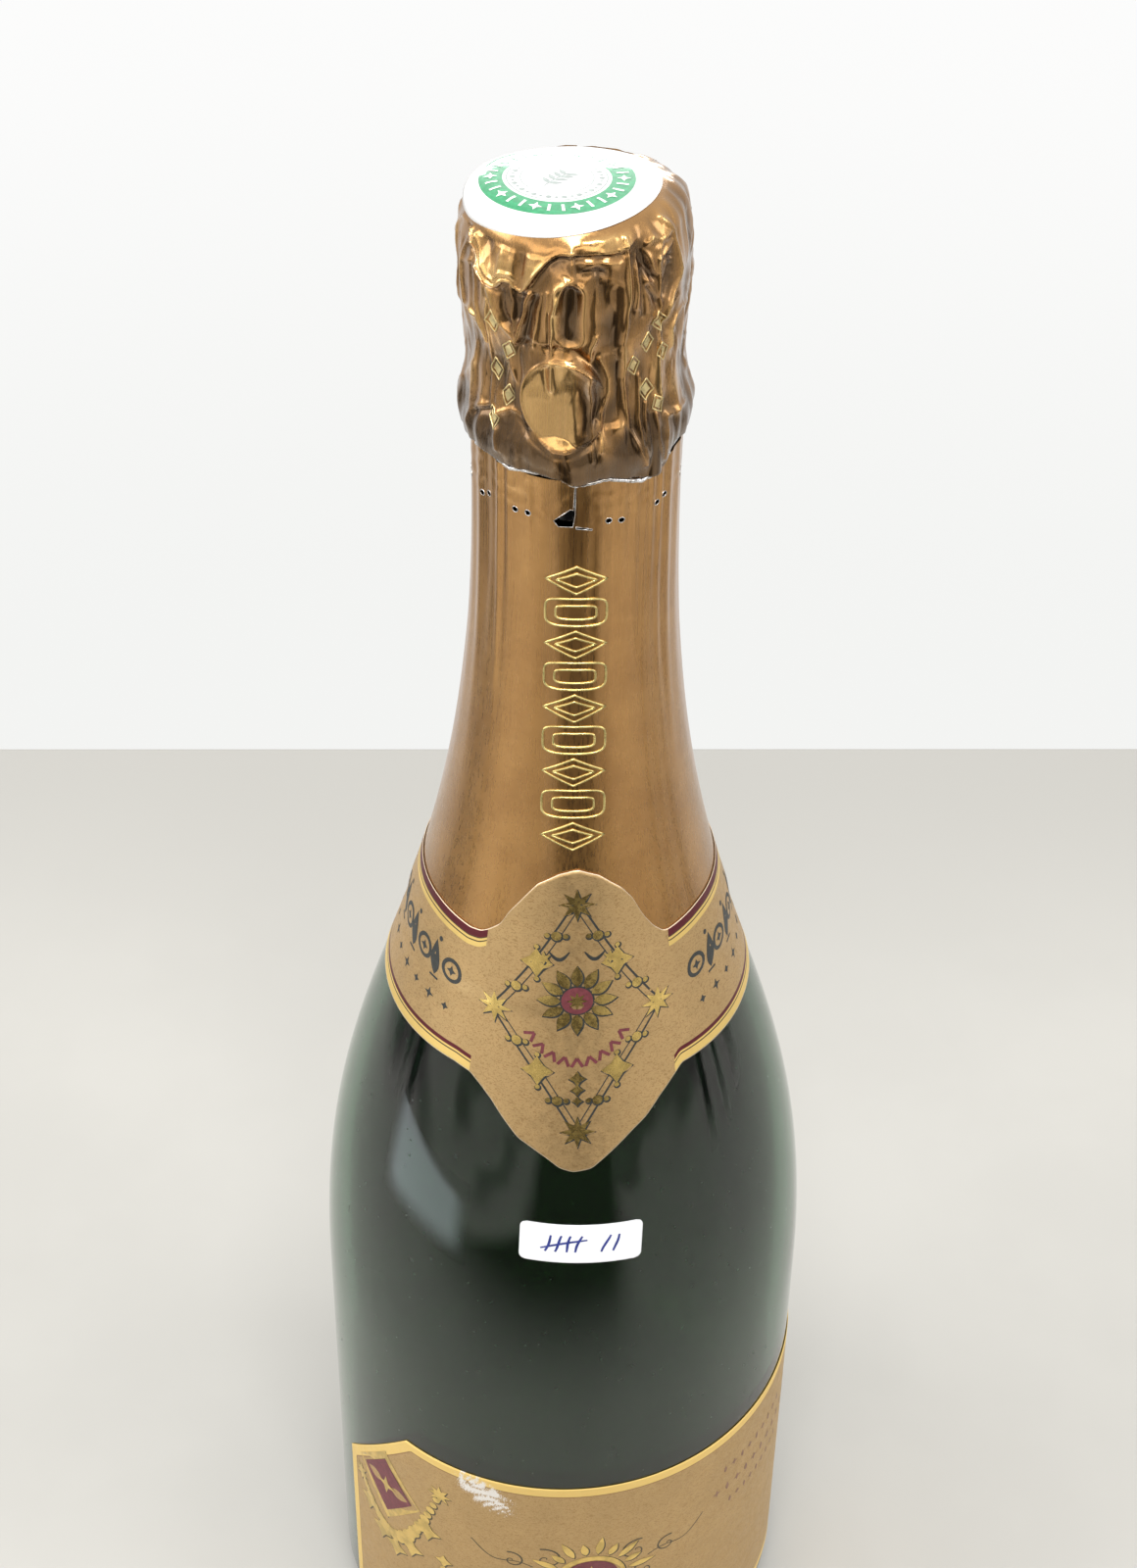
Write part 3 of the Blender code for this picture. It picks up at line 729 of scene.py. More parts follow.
def foilMaterial(name, crumple, satin, coat, lift=1.0, folded=False):
    # bronze lacquer over aluminium foil: rolling lines, small dents and a clear coat
    foil = newMaterial(name)
    bronze, darkBronze = (toned(neckFoil[key], lift) for key in ("bronze", "darkBronze"))
    colour = mottle(foil, 9.0, bronze, darkBronze, 0.35, 0.68, 4.0)
    if folded:
        # painted shade and painted highlight: the lacquer is darker in the hollows between the folds and
        # gold-coloured on their crests
        fold = attribute(foil, "fold")
        colour = blendColour(foil, 1.0, colour, ramp(foil, fold, -0.7, 0.35, 0.25, 1.05), "MULTIPLY")
        colour = blendColour(foil, ramp(foil, fold, 0.0, 0.7, 0.0, 0.8), colour, neckFoil["crestHighlight"])
    else:
        worn = ramp(foil, grain(foil, 1.6, 5.0, 0.7), 0.68, 0.76)
        colour = blendColour(foil, product(foil, worn, 0.2), colour, neckFoil["worn"])
    lines = grain(foil, 0.35, 2.0, stretch=(1.0, 1.0, 0.02))
    dents = grain(foil, 1.4, 3.0, 0.6, distortion=0.4)
    relief(foil, calc(foil, "MULTIPLY_ADD", dents, crumple, product(foil, lines, 0.03)), 0.22, 1.0)
    rough = ramp(foil, lines, 0.3, 0.7, satin - 0.05, satin + 0.06)
    return setShader(foil, {"Base Color": colour, "Metallic": 1.0, "Roughness": rough,
                            "Coat Weight": coat, "Coat Roughness": 0.17})


def holeCutter():
    # one mesh of short radial prisms: the perforation's holes, the torn triangle and the crack over it
    bm = bmesh.new()
    middle, radius = foilRadius(neckFoil["skirtHigh"]), neckFoil["holeRadius"]
    inside, outside = middle - neckFoil["cutReach"], middle + neckFoil["cutReach"]
    for azimuth, height in neckFoil["holes"]:
        made = bmesh.ops.create_cone(bm, cap_ends=True, segments=12, radius1=radius, radius2=radius,
                                     depth=outside - inside)["verts"]
        for vertex in made:
            across, up, out = vertex.co
            vertex.co = around(out + middle, azimuth + degrees(across / foilRadius(height)), height + up)
    for outline in neckFoil["tears"]:
        inner = bm.faces.new([bm.verts.new(around(inside, azimuth, height)) for azimuth, height in outline])
        for item in bmesh.ops.extrude_face_region(bm, geom=[inner])["geom"]:
            if isinstance(item, bmesh.types.BMVert):
                item.co = item.co * Vector((outside / inside, outside / inside, 1.0))
    bmesh.ops.recalc_face_normals(bm, faces=bm.faces[:])
    return linked("hole_cutter", meshFrom(bm, "hole_cutter"))


def makeNeckFoil():
    cutter = holeCutter()
    for name, node, low, high, rows, satin, lift in (
            ("neck_foil", "foil_skirt", neckFoil["skirtLow"], neckFoil["skirtHigh"], neckFoil["skirtRows"],
             0.3, 0.0),
            ("tear_band", "tear_strip", neckFoil["skirtHigh"], neckFoil["stripHigh"], neckFoil["stripRows"],
             0.28, 0.02)):
        def place(across, up):
            azimuth, height = 360.0 * across - 180.0, low + (high - low) * up
            if node == "tear_strip":
                height += 0.22 * wander(azimuth * 0.09, 2.0, 5.0) * between(up, 0.5, 1.0)
            return neckFoilPoint(azimuth, height, lift)
        blank = linked(name + "_blank", gridMesh(name, neckFoil["columns"], rows, place, closed=True))
        thicken(blank, neckFoil["thickness"])
        cut = blank.modifiers.new("holes", "BOOLEAN")
        cut.operation = "DIFFERENCE"
        cut.solver = "EXACT"
        cut.object = cutter
        bpy.context.view_layer.update()
        mesh = applied(blank)
        mesh.name = name
        addPiece(name, mesh, foilMaterial(name, 0.18, satin, 0.6), "bottle", node)
        mesh.set_sharp_from_angle(angle=radians(60))
    bpy.data.objects.remove(cutter, do_unlink=True)


def makeCutEdge():
    # the strip's torn top edge curls outwards and shows bare aluminium
    path, edge = [], neckFoil["cutEdge"]
    for t in shares(240):
        azimuth = edge[0][0] + (edge[-1][0] - edge[0][0]) * t
        height = readTable(edge, azimuth) + 0.1 * wander(azimuth * 0.6, 4.0, 1.0)
        out = 0.5 + 0.2 * wander(azimuth * 0.35, 9.0, 1.0)
        path.append(around(foilRadius(279.0) + out, azimuth, height))
    bare = mottledMaterial("bare_aluminium", 0.8, *neckFoil["bare"], {"Metallic": 1.0, "Roughness": 0.25})
    mesh = tubeMesh("cut_edge", [path], neckFoil["cutEdgeRadius"])
    addPiece("cut_edge", mesh, bare, "bottle")
    # thin bare rims round the holes in front and the torn gap
    rims = [[(azimuth + degrees(across / foilRadius(height)), height + up)
             for across, up in circle(neckFoil["holeRadius"], count=12)]
            for azimuth, height in neckFoil["holes"] if abs(azimuth) < 90.0]
    paths = [[neckFoilPoint(azimuth, height, 0.03) for azimuth, height in rim] for rim in rims
             + neckFoil["tears"]]
    mesh = tubeMesh("torn_rims", paths, neckFoil["rimRadius"], cyclic=True, sides=1)
    addPiece("torn_rims", mesh, bare, "bottle")


makeNeckFoil()
makeCutEdge()
print("neck foil made")


# Crumpled hood over the cork and cage
hood = {
    "columns": 430,
    "rows": 200,
    "hemRows": 5,
    "frontShare": 0.66,
    # share of the rows that lie on the side, below the crown
    "sideShare": 1 / 1.3,
    # radius at which the hood is unrolled
    "meanRadius": 16.3,
    # how far the hood leans to the left, at its lower edge and at its crown
    "lean": (0.3, 0.65),
    # fall of the crown towards the back: its slope at the middle and its curve, per millimetre
    "crownFall": (0.12, 0.006),
    "foldScale": 1.35,
    # how far a fold reaches, in its own widths, and the number of folds made up for the back
    "foldReach": 7.0,
    "backFolds": 54,
    # radius by height
    "profile": [(277.5, 16.5), (279.6, 16.6), (281.2, 17.0), (283.0, 17.3), (284.6, 17.25), (286.2, 16.85),
                (288.2, 16.35), (290.2, 16.02), (293.0, 15.92), (297.5, 15.95), (300.0, 16.15),
                (302.5, 16.5), (305.5, 16.62), (309.0, 16.6), (312.0, 16.42), (314.2, 16.15), (315.6, 15.8)],
    "shoulderRadius": 15.8,
    "shoulderHeight": 315.6,
    "crownHeight": 319.45,
    "crownRound": 4.4,
    # height of the lower edge by azimuth
    "edge": [(-180, 280.3), (-140, 280.7), (-110, 280.2), (-90, 280.8), (-70, 280.5), (-59, 281.0),
             (-45, 280.9), (-39, 280.6), (-28, 280.9), (-17, 281.5), (-6, 281.5), (-1, 280.3), (2.7, 279.9),
             (12, 280.4), (18, 280.2), (28, 279.2), (38, 278.3), (51, 278.2), (57, 279.6), (60, 282.0),
             (64, 281.2), (90, 280.5), (120, 280.9), (150, 280.2), (180, 280.3)],
    # lower edge of the foil that is folded down from the crown
    "apron": [(-70, 317.2), (-62.8, 315.6), (-57.0, 313.6), (-51.0, 311.0), (-46.0, 309.8), (-40.5, 309.5),
              (-36.5, 310.8), (-33.0, 311.2), (-29.5, 310.3), (-26.2, 309.9), (-22.5, 311.3),
              (-17.9, 313.6), (-13.0, 315.4), (-8.0, 316.2), (0.0, 316.4), (10.0, 316.5), (20.0, 316.2),
              (27.0, 316.8), (34.0, 317.6)],
    "apronRise": 0.55,
    "apronBead": 0.3,
    # folds that the photograph shows, as lines in its own frame: height, width and points
    "frontFolds": [
        (0.6, 0.36, [(539, 300), (536, 307), (535, 318), (529, 334), (525, 350)]),
        (0.42, 0.34, [(498, 292), (503, 313), (511, 330), (520, 342), (525, 350)]),
        (0.3, 0.4, [(520, 294), (523, 309), (521, 325), (523, 338)]),
        (-0.45, 0.55, [(511, 300), (512, 315), (517, 328)]),
        (-0.4, 0.5, [(531, 303), (531, 312), (527, 325)]),
        (-0.55, 0.7, [(544, 304), (540, 322), (536, 340), (532, 353)]),
        (0.34, 0.4, [(551, 302), (548, 328), (546, 342), (543, 352)]),
        (0.3, 0.28, [(558, 300), (556.5, 331), (558.5, 353)]),
        (-0.3, 0.34, [(560, 322), (559, 345), (560, 366)]),
        (0.5, 0.34, [(577, 288), (568, 309), (562.5, 322), (562, 342), (563, 365), (563.5, 393)]),
        (-0.55, 0.5, [(555, 371), (557, 385), (559.5, 406)]),
        (0.34, 0.3, [(583, 258), (584, 270), (584, 283)]),
        (0.4, 0.4, [(575, 286), (580, 287.5), (585, 286)]),
        (0.45, 0.36, [(476, 244), (472, 257), (471, 272), (472, 288), (474, 308), (481, 315), (487, 322),
                      (494, 336), (497, 348)]),
        (0.36, 0.34, [(482, 270), (484, 288), (485, 304), (489, 326), (496, 342)]),
        (0.4, 0.3, [(498, 305), (497, 320), (499, 342), (500, 360), (502, 380), (502, 392), (501, 409),
                    (503, 425)]),
        (0.4, 0.4, [(471, 264), (480, 266), (490, 270)]),
        (-0.4, 0.4, [(477, 250), (482, 256), (487, 262)]),
        (0.3, 0.3, [(487, 240), (483, 251), (487, 262)]),
        (0.6, 0.6, [(476, 212), (471, 222), (466, 233)]),
        (0.42, 0.3, [(591, 237), (605, 237), (620, 243), (628, 237)]),
        (0.45, 0.34, [(596, 249), (610, 246.5), (618, 249), (630, 243)]),
        (0.38, 0.6, [(597, 268), (614, 268), (632, 269)]),
        (-0.36, 0.45, [(595, 279), (606, 278), (617, 280)]),
        (-0.4, 0.45, [(588, 261), (603, 260), (617, 262), (630, 258)]),
        (0.42, 0.3, [(640, 244), (641, 258), (642, 266), (642.5, 288), (642, 309), (641, 330), (637, 350),
                     (636.5, 362), (637.5, 400), (637.5, 416), (643, 438), (652, 455), (659, 474)]),
        (-0.36, 0.4, [(646, 262), (646.5, 290), (646, 320)]),
        (0.3, 0.4, [(650.5, 262), (651, 290), (650, 315)]),
        (-0.4, 0.5, [(655, 280), (655.5, 300), (657, 322)]),
        (-0.6, 0.5, [(654, 264), (660, 273), (667, 283)]),
        (-0.55, 0.5, [(662, 293), (667, 300), (670, 307)]),
        (0.42, 0.4, [(657, 257), (664, 268), (671, 279)]),
        (0.36, 0.4, [(661, 286), (667, 296), (672, 303)]),
        (0.55, 0.32, [(672, 264), (673, 280), (674, 300), (674.4, 313), (670, 323), (673, 333), (673, 348),
                      (670, 372), (670, 394), (672, 405)]),
        (0.42, 0.34, [(660, 250), (667, 242), (676, 243), (687, 234.5)]),
        (0.38, 0.34, [(675, 244), (673, 255), (672, 266)]),
        (0.38, 0.34, [(673, 264), (677, 259), (682, 252), (687, 246)]),
        (-0.4, 0.4, [(678, 268), (682, 262), (687, 262)]),
        (0.55, 0.34, [(681, 222), (688, 233), (691, 251), (694, 272), (693, 282), (687, 298), (678, 323)]),
        (-0.5, 0.5, [(686, 273), (682, 287), (677, 300)]),
        (0.45, 0.4, [(703, 305), (696, 312), (690, 320), (684, 334), (684, 352)]),
        (0.34, 0.3, [(651, 384), (652, 427), (658, 457)]),
        (-0.36, 0.34, [(655, 398), (656, 430), (660, 455)]),
        (0.36, 0.3, [(658.5, 412), (659.5, 459), (660, 474)]),
        (0.34, 0.34, [(669, 421), (673, 448), (675, 470)]),
        (-0.34, 0.34, [(665, 424), (669, 450), (671, 470)]),
        (0.4, 0.34, [(680, 423), (681, 448), (678, 468)]),
        (0.5, 0.4, [(681, 422), (688, 419), (698, 407)]),
        (0.4, 0.3, [(609, 344), (604, 354), (602, 372), (601, 394), (602, 427), (603, 442), (605, 470)]),
        (-0.55, 0.6, [(606, 374), (608, 392), (609, 408), (606, 424)]),
        (0.5, 0.32, [(611.5, 365), (616, 376), (620, 386), (621, 399), (617, 412), (612.5, 420),
                     (611.5, 438), (612.5, 459)]),
        (-0.3, 0.7, [(628, 372), (629, 395), (626, 415)]),
        (0.36, 0.9, [(621, 436), (634, 435)]),
        (-0.3, 0.4, [(608, 446), (608, 470)]),
        (0.34, 0.34, [(505, 421), (514, 419), (521, 417.5), (527, 420), (531, 425)]),
        (0.34, 0.34, [(506, 438), (504.5, 448), (506, 459)]),
        (0.4, 0.36, [(563, 456), (567, 468), (577, 480)]),
        (0.36, 0.34, [(577, 458), (579, 466), (582, 476)]),
        (0.3, 0.3, [(524, 378), (528, 392)]),
        (-0.34, 0.5, [(516, 372), (514, 385), (512, 398)]),
        (-0.36, 0.5, [(484, 419), (492, 418), (500, 418)]),
        (0.4, 0.5, [(468, 384), (478, 378), (485, 366), (486, 350)]),
        (0.36, 0.5, [(474, 430), (482, 414), (491, 411), (500, 412)]),
    ],
    # the loop's ring pressed through: middle, half width and height, radius where it lies and slopes
    "ringCentre": (-5.9, 293.1),
    "ringReach": (6.15, 7.25),
    "ringOut": 17.05,
    "ringSlopes": (0.12, 0.0),
    # where the foil runs up to the ring's rim as a flat facet: bearing, spread and width
    "ledges": [(124.0, 18.0, 2.8), (84.0, 14.0, 1.0), (215.0, 20.0, 0.5)],
    # long dents: azimuth, lower and upper end, half width and depth
    "dents": [(-1.9, 304.2, 310.4, 1.95, -0.85), (17.3, 303.0, 310.6, 1.9, -0.28)],
    # printed lozenges: place in the photograph's frame, and turn
    "lozenges": [(503, 327, 8), (518.6, 357, -14), (505.6, 377, 10), (518, 403, -6), (503.4, 425, 14),
                 (660.8, 349, 0), (646.7, 373, 8), (659.7, 397.5, -4), (674.4, 357, 12), (672.5, 327, 10),
                 (670.5, 411, 20)],
    "lozengeSize": (2.3, 3.6),
    "goldLine": 0.12,
    "gold": (0.86, 0.7, 0.36),
    "rimRadius": 0.22,
    # lighter bronze of the rolled rim, a painted highlight, mottled with a darker bronze
    "rimHighlightTones": ((0.8, 0.58, 0.36), (0.5, 0.28, 0.12)),
}
stamp = {
    "middle": (-2.45, -0.75),
    "radius": 13.75,
    "thickness": 0.12,
    "gap": 0.1,
    "ringMiddle": (-0.85, 0.05),
    "ringRadii": (7.6, 10.85),
    "marksRadius": 9.22,
    "green": (0.02, 0.30, 0.12),
    "white": (0.92, 0.92, 0.91),
    "grey": (0.33, 0.38, 0.36),
}
cage = {
    "wire": 0.9,
    "ringRadius": 11.3,
    "ringHeight": 316.65,
    "legAngles": (45.0, 135.0, 225.0, 315.0),
    "leg": [(11.3, 316.65), (13.7, 316.6), (14.75, 316.05), (15.18, 315.1), (15.2, 312.0), (15.2, 306.0),
            (15.2, 300.3), (15.22, 294.0), (15.3, 289.4), (15.75, 287.2), (16.38, 284.8), (16.4, 282.4),
            (16.4, 280.6)],
    "strandRadius": 0.225,
    "strandOrbit": 0.215,
    "twistPitch": 3.4,
    "beltRadius": 15.35,
    "beltHeight": 280.2,
    "loopAzimuth": -5.5,
    "loopRadius": 15.35,
    "loopRingRadius": 5.9,
    "loopRingHeight": 293.2,
    "loopOpening": 16.0,
    "stemRadius": 17.05,
    "stemOrbit": 0.65,
    "stemTurns": 1.5,
    "stemBend": 0.68,
    "steels": ((0.66, 0.66, 0.68), (0.48, 0.47, 0.46)),
    # least radius of the hood by height: everywhere, at the loop's ring, at a leg and at the loop's stem
    "cover": [(280.0, 16.0), (287.5, 15.95), (289.0, 15.1), (315.0, 14.95), (317.0, 13.5)],
    "loopCover": 15.98,
    "legCover": [(280.6, 17.0), (284.8, 16.98), (287.2, 16.35), (289.4, 15.9), (294.0, 15.82),
                 (315.1, 15.8), (316.2, 15.3), (317.0, 13.6)],
    "stemCover": [(280.5, 18.3), (285.0, 18.3), (286.5, 17.85), (287.5, 17.2), (288.4, 16.4), (289.0, 15.98)],
    # outline of the plate, down over its upper face and back under it
    "plate": [(0.0, 316.65), (4.0, 316.62), (7.0, 316.52), (8.6, 316.38), (9.1, 316.12), (9.6, 316.05),
              (12.9, 316.05), (13.5, 315.98), (14.1, 315.68), (14.45, 315.2), (14.6, 314.5), (14.2, 314.46),
              (14.05, 315.1), (13.7, 315.5), (13.1, 315.64), (9.5, 315.66), (8.9, 315.74), (8.4, 315.98),
              (7.0, 316.12), (4.0, 316.2), (0.0, 316.25)],
    "plateGolds": ((0.72, 0.55, 0.24), (0.6, 0.44, 0.18)),
    "plateRed": (0.16, 0.02, 0.03),
}


def flat(azimuth, height):
    # the hood unrolled, in millimetres
    return radians(azimuth) * hood["meanRadius"], height


def leanAt(height):
    low, high = hood["lean"]
    return low + (high - low) * between(height, 288.0, 305.0)


def fromPhoto(x, y):
    # azimuth and height where the ray through a point of the photograph's frame meets the hood
    right, up, forward = cameraAxes()
    wide, tall = cameraView["frame"]
    focal = cameraView["lens"] / cameraView["sensor"] * tall
    ray = forward + right * ((x - wide / 2) / focal) + up * ((tall / 2 - y) / focal)
    eye = Vector(cameraView["place"])
    height = 300.0
    for _ in range(5):
        radius, middle = readTable(hood["profile"], height), -leanAt(height)
        a = ray.x ** 2 + ray.y ** 2
        b = ray.x * (eye.x - middle) + ray.y * eye.y
        c = (eye.x - middle) ** 2 + eye.y ** 2 - radius ** 2
        reach = (-b - sqrt(max(b * b - a * c, 0.0))) / a
        point = eye + ray * reach
        height = point.z
    return degrees(atan2(point.x - middle, -point.y)), height


def prepareFolds():
    # each fold as straight runs on the unrolled hood
    folds = [(rise, width, [flat(*fromPhoto(*point)) for point in points])
             for rise, width, points in hood["frontFolds"]]
    # the back of the hood, which the photograph doesn't show, gets folds of the same kind
    for number in range(hood["backFolds"]):
        start, top, drop = (low + span * (number * step % 1.0) for low, span, step in
                            ((82.0, 200.0, 0.618), (297.0, 19.0, 0.371), (7.0, 9.0, 0.733)))
        sway = 26.0 * wander(number * 3.1, 1.3, 5.2)
        rise, width = (0.5, -0.4, 0.36)[number % 3], 0.34 + 0.2 * abs(wander(number * 0.7, 2.2, 2.9))
        azimuths = [start + sway * share for share in (0.0, 0.5, -0.2, 0.4)]
        laid = [flat(a - 360.0 if a > 180.0 else a, max(top - drop * i / 3, 283.0)) for i,
                a in enumerate(azimuths)]
        across = [x for x, _ in laid]
        if max(azimuths) < 288.0 and max(across) - min(across) < 20.0:
            folds.append((rise, width, laid))
    runs = []
    for number, (rise, width, laid) in enumerate(folds):
        reach = hood["foldReach"] * width
        for (ax, az), (bx, bz) in zip(laid, laid[1:]):
            runs.append((rise * hood["foldScale"], width, ax, az, bx - ax, bz - az, min(ax, bx) - reach,
                         max(ax, bx) + reach, min(az, bz) - reach, max(az, bz) + reach, number))
    return runs


hoodFolds = prepareFolds()


def foldHeight(x, z):
    # sharp crests with hollow flanks: where folds meet, the highest counts most
    ridges, grooves, limit = {}, {}, hood["foldReach"]
    for rise, width, ax, az, dx, dz, lowX, highX, lowZ, highZ, number in hoodFolds:
        if lowX < x < highX and lowZ < z < highZ:
            share = min(max(((x - ax) * dx + (z - az) * dz) / (dx * dx + dz * dz + 1e-9), 0.0), 1.0)
            away = hypot(x - ax - share * dx, z - az - share * dz) / width
            if away < limit:
                tent = abs(rise) * 0.5 * (exp(-away ** 1.6) + exp(-away / 2.6)) * between(away, limit, 4.0)
                found = ridges if rise > 0 else grooves
                found[number] = max(found.get(number, 0.0), tent)
    up, down = (sum(tent ** 3 for tent in found.values()) ** (1 / 3) for found in (ridges, grooves))
    return up - down


def apronRelief(azimuth, height):
    # foil folded down from the crown: raised above its edge, with a rolled bead along it
    side = between(azimuth, -72.0, -62.0) * between(azimuth, 36.0, 26.0)
    if not side:
        return 0.0
    before, here, after = (readSmooth(hood["apron"], azimuth + step) for step in (-1.5, 0.0, 1.5))
    over = (height - here) / sqrt(1.0 + ((after - before) / 0.85) ** 2)
    step = between(over, -0.18, 0.12) * between(over, 4.5, 1.0)
    bead = bell(over, 0.12, 0.3) + bell(over, 1.15, 0.22) * between(azimuth, -27.0, -32.0)
    return side * (hood["apronRise"] * step + hood["apronBead"] * bead - 0.22 * bell(over, -0.65, 0.45))


def hoodRelief(azimuth, height):
    x, z = flat(azimuth, height)
    x2 = x + 0.22 * wander(x * 0.3 + 3.1, z * 0.3, 9.0)
    z2 = z + 0.22 * wander(x * 0.3, z * 0.3 + 7.7, 2.0)
    total = foldHeight(x2, z2) * (1.0 - 0.5 * between(abs(azimuth), 52.0, 72.0))
    total += apronRelief(azimuth, height)
    for centre, low, high, half, depth in hood["dents"]:
        gap = hypot(x2 - flat(centre, 0)[0], max(low - z2, 0.0, z2 - high))
        dish = between(gap, half, half * 0.35) * (0.7 + 0.3 * between(z2, low - 1.0, high))
        total += depth * (dish - 0.25 * bell(gap, half + 0.1, 0.3))
    # soft dents and a little fine crumpling
    rough = between(height, 281.5, 286.0) * (1.0 - 0.45 * between(height, 315.5, 318.5))
    soft, panels = wander(x2 * 0.2, z2 * 0.1, 14.0), wander(x2 * 0.42, z2 * 0.16, 21.0)
    total += 0.5 * (soft + panels) * (0.3 + 0.7 * rough)
    total += 0.42 * max(0.0, 0.16 - abs(wander(x2 * 0.34, z2 * 0.17, 4.0))) * rough
    return total + 0.3 * wander(x * 0.62, z * 0.06, 11.0) * between(height, 306.0, 286.0)


def ringShare(azimuth, height):
    # how far inside the pressed-through ring a point lies, and its place from the ring's middle
    ringX, ringZ = flat(*hood["ringCentre"])
    x, z = flat(azimuth, height)
    dx, dz = x - ringX, z - ringZ
    return hypot(dx / hood["ringReach"][0], dz / hood["ringReach"][1]), dx, dz


def withRing(azimuth, height, radius):
    # the flat disc of foil over the loop's ring, its crisp rim, and the facets that run up to it
    away, dx, dz = ringShare(azimuth, height)
    if away > 1.7:
        return radius
    ringOut, (slopeX, slopeZ) = hood["ringOut"], hood["ringSlopes"]
    bow = slopeX * dx + slopeZ * dz + 0.55 * dx * dx / (2 * ringOut)
    disc = ringOut + bow + 0.5 * between(dz, 0.5, 6.5) * between(dx, -2.5, 1.5)
    kept = max(between(dx, 0.5, 2.8), 0.8 * between(dz, 0.0, 3.0)) * between(away, 1.0, 0.8)
    disc += kept * min(radius - readTable(hood["profile"], height), 0.5) + 0.16 * bell(away, 0.97, 0.04)
    bearing = degrees(atan2(dz, dx))
    width = 0.07 + sum(reach / 6.5 * bell(turnedAngle(bearing, middle), 0.0, spread)
                       for middle, spread, reach in hood["ledges"])
    ledge = min(max((1.0 + width - away) / width, 0.0), 1.0)
    edgeOut = ringOut + bow / max(away, 1.0)
    outer = radius + max(edgeOut - 0.15 - radius, 0.0) * ledge - 0.14 * bell(away, 1.04 + width, 0.06)
    made = outer + (disc - outer) * between(away, 1.0, 0.96)
    if dz < -3.0:
        made = max(made, radius - 0.15)
    covered = between(dx, 3.6, 6.2)
    return radius + (made - radius) * (1.0 - 0.85 * covered)


def leastRadius(azimuth, height):
    # the hood stays clear of the cage's legs, the loop and its stem, and the glass
    least = readTable(cage["cover"], height)
    fromLoop = radians(abs(turnedAngle(azimuth, cage["loopAzimuth"])))
    if 285.5 < height < 300.8 and fromLoop < radians(27.0):
        least = cage["loopCover"]
    for leg in cage["legAngles"]:
        away = radians(abs(turnedAngle(azimuth, leg))) * 16.0
        if away < 1.3:
            least = max(least, readTable(cage["legCover"], height) - 0.35 * away * away)
    if height < 289.0:
        least = max(least, readTable(cage["stemCover"], height) - 0.3 * (fromLoop * 17.0) ** 2)
    # measured from the hood's own leaning axis
    return least + leanAt(height) * sin(radians(azimuth))


def crownDrop(height, y):
    # the crown falls to the back, its rounded edge less and less down to the shoulder, sooner at the front
    share = (height - hood["shoulderHeight"]) / (hood["crownHeight"] - hood["shoulderHeight"])
    slope, curve = hood["crownFall"]
    return (slope * y + curve * y * y) * min(max(share, 0.0), 1.0) ** (2.0 if y < 0 else 0.5)


def hoodPlace(azimuth, along, lift=0.0):
    # a point of the hood, and its tone: painted shade in hollows and a gold-coloured painted highlight on
    # crests
    # along runs from 0 at the lower edge up the side to 1, and on across the crown to 2
    top, shoulder = hood["shoulderHeight"], hood["shoulderRadius"]
    if along <= 1.0:
        edge = readTable(hood["edge"], azimuth) + 0.12 * wander(azimuth * 0.35, 1.0, 2.0)
        height = edge + (top - edge) * along
        radius = readSmooth(hood["profile"], height)
        outward, upward = 1.0, 0.0
    else:
        turn = (along - 1.0) * 2.2
        angle = min(turn, 1.0) * pi / 2
        outward, upward = cos(angle), sin(angle)
        radius = (shoulder - hood["crownRound"] * (1.0 - outward)) * (1.0 - max(turn - 1.0, 0.0) / 1.2)
        height = top + (hood["crownHeight"] - top) * upward
    fold = hoodRelief(azimuth, height + (shoulder - radius) * 0.8 * upward)
    overStem = bell(turnedAngle(azimuth, cage["loopAzimuth"]), 0.0, 13.0) * between(height, 290.0, 285.2)
    fold = (max(fold, -0.9) - 0.16) * (1.0 - 0.5 * upward) * (1.0 - 0.75 * overStem)
    if along > 1.0:
        # smooth under the printed disc, and raised where the cage's leg behind on the right ends
        (discX, discY), discRadius = stamp["middle"], stamp["radius"]
        fromDisc = hypot(radius * sin(radians(azimuth)) - leanAt(height) - discX,
                         -radius * cos(radians(azimuth)) - discY)
        fold *= between(fromDisc, discRadius + 0.1, discRadius + 1.4)
        fold += 0.4 * bell(turnedAngle(azimuth, cage["legAngles"][1]), 0.0, 6.0) * between(radius, 11.5, 13.0)
    rimLift = 0.35 * between(height, 282.6, 280.4) * bell(turnedAngle(azimuth, -10.0), 0.0, 22.0)
    outer = radius + 1.35 * overStem + rimLift + fold * outward
    # painted shade: the tone is darker towards the hood's lower edge
    tone = fold - 0.5 * between(height, 292.0, 285.0)
    if along <= 1.0:
        outer = withRing(azimuth, height, outer)
        away, dx, _ = ringShare(azimuth, height)
        # painted highlight: the disc over the loop's ring gets a gold-coloured tone
        tone += (0.45 - tone) * between(away, 1.0, 0.94) * between(dx, 3.4, 1.4)
    if upward < 0.5:
        outer = max(outer, leastRadius(azimuth, height))
    point = around(outer + lift * outward, azimuth, height + (fold + lift) * upward)
    point.x -= leanAt(height) * mm
    point.z -= crownDrop(height, point.y / mm) * mm
    return point, tone


def hoodPoint(azimuth, along, lift=0.0):
    return hoodPlace(azimuth, along, lift)[0]


def hoodAzimuth(across):
    # columns lie closer together on the front half
    front = hood["frontShare"]
    low, high = (1 - front) / 2, (1 + front) / 2
    if across < low:
        return -180.0 + 90.0 * across / low
    if across > high:
        return 90.0 + 90.0 * (across - high) / (1 - high)
    return -90.0 + 180.0 * (across - low) / front


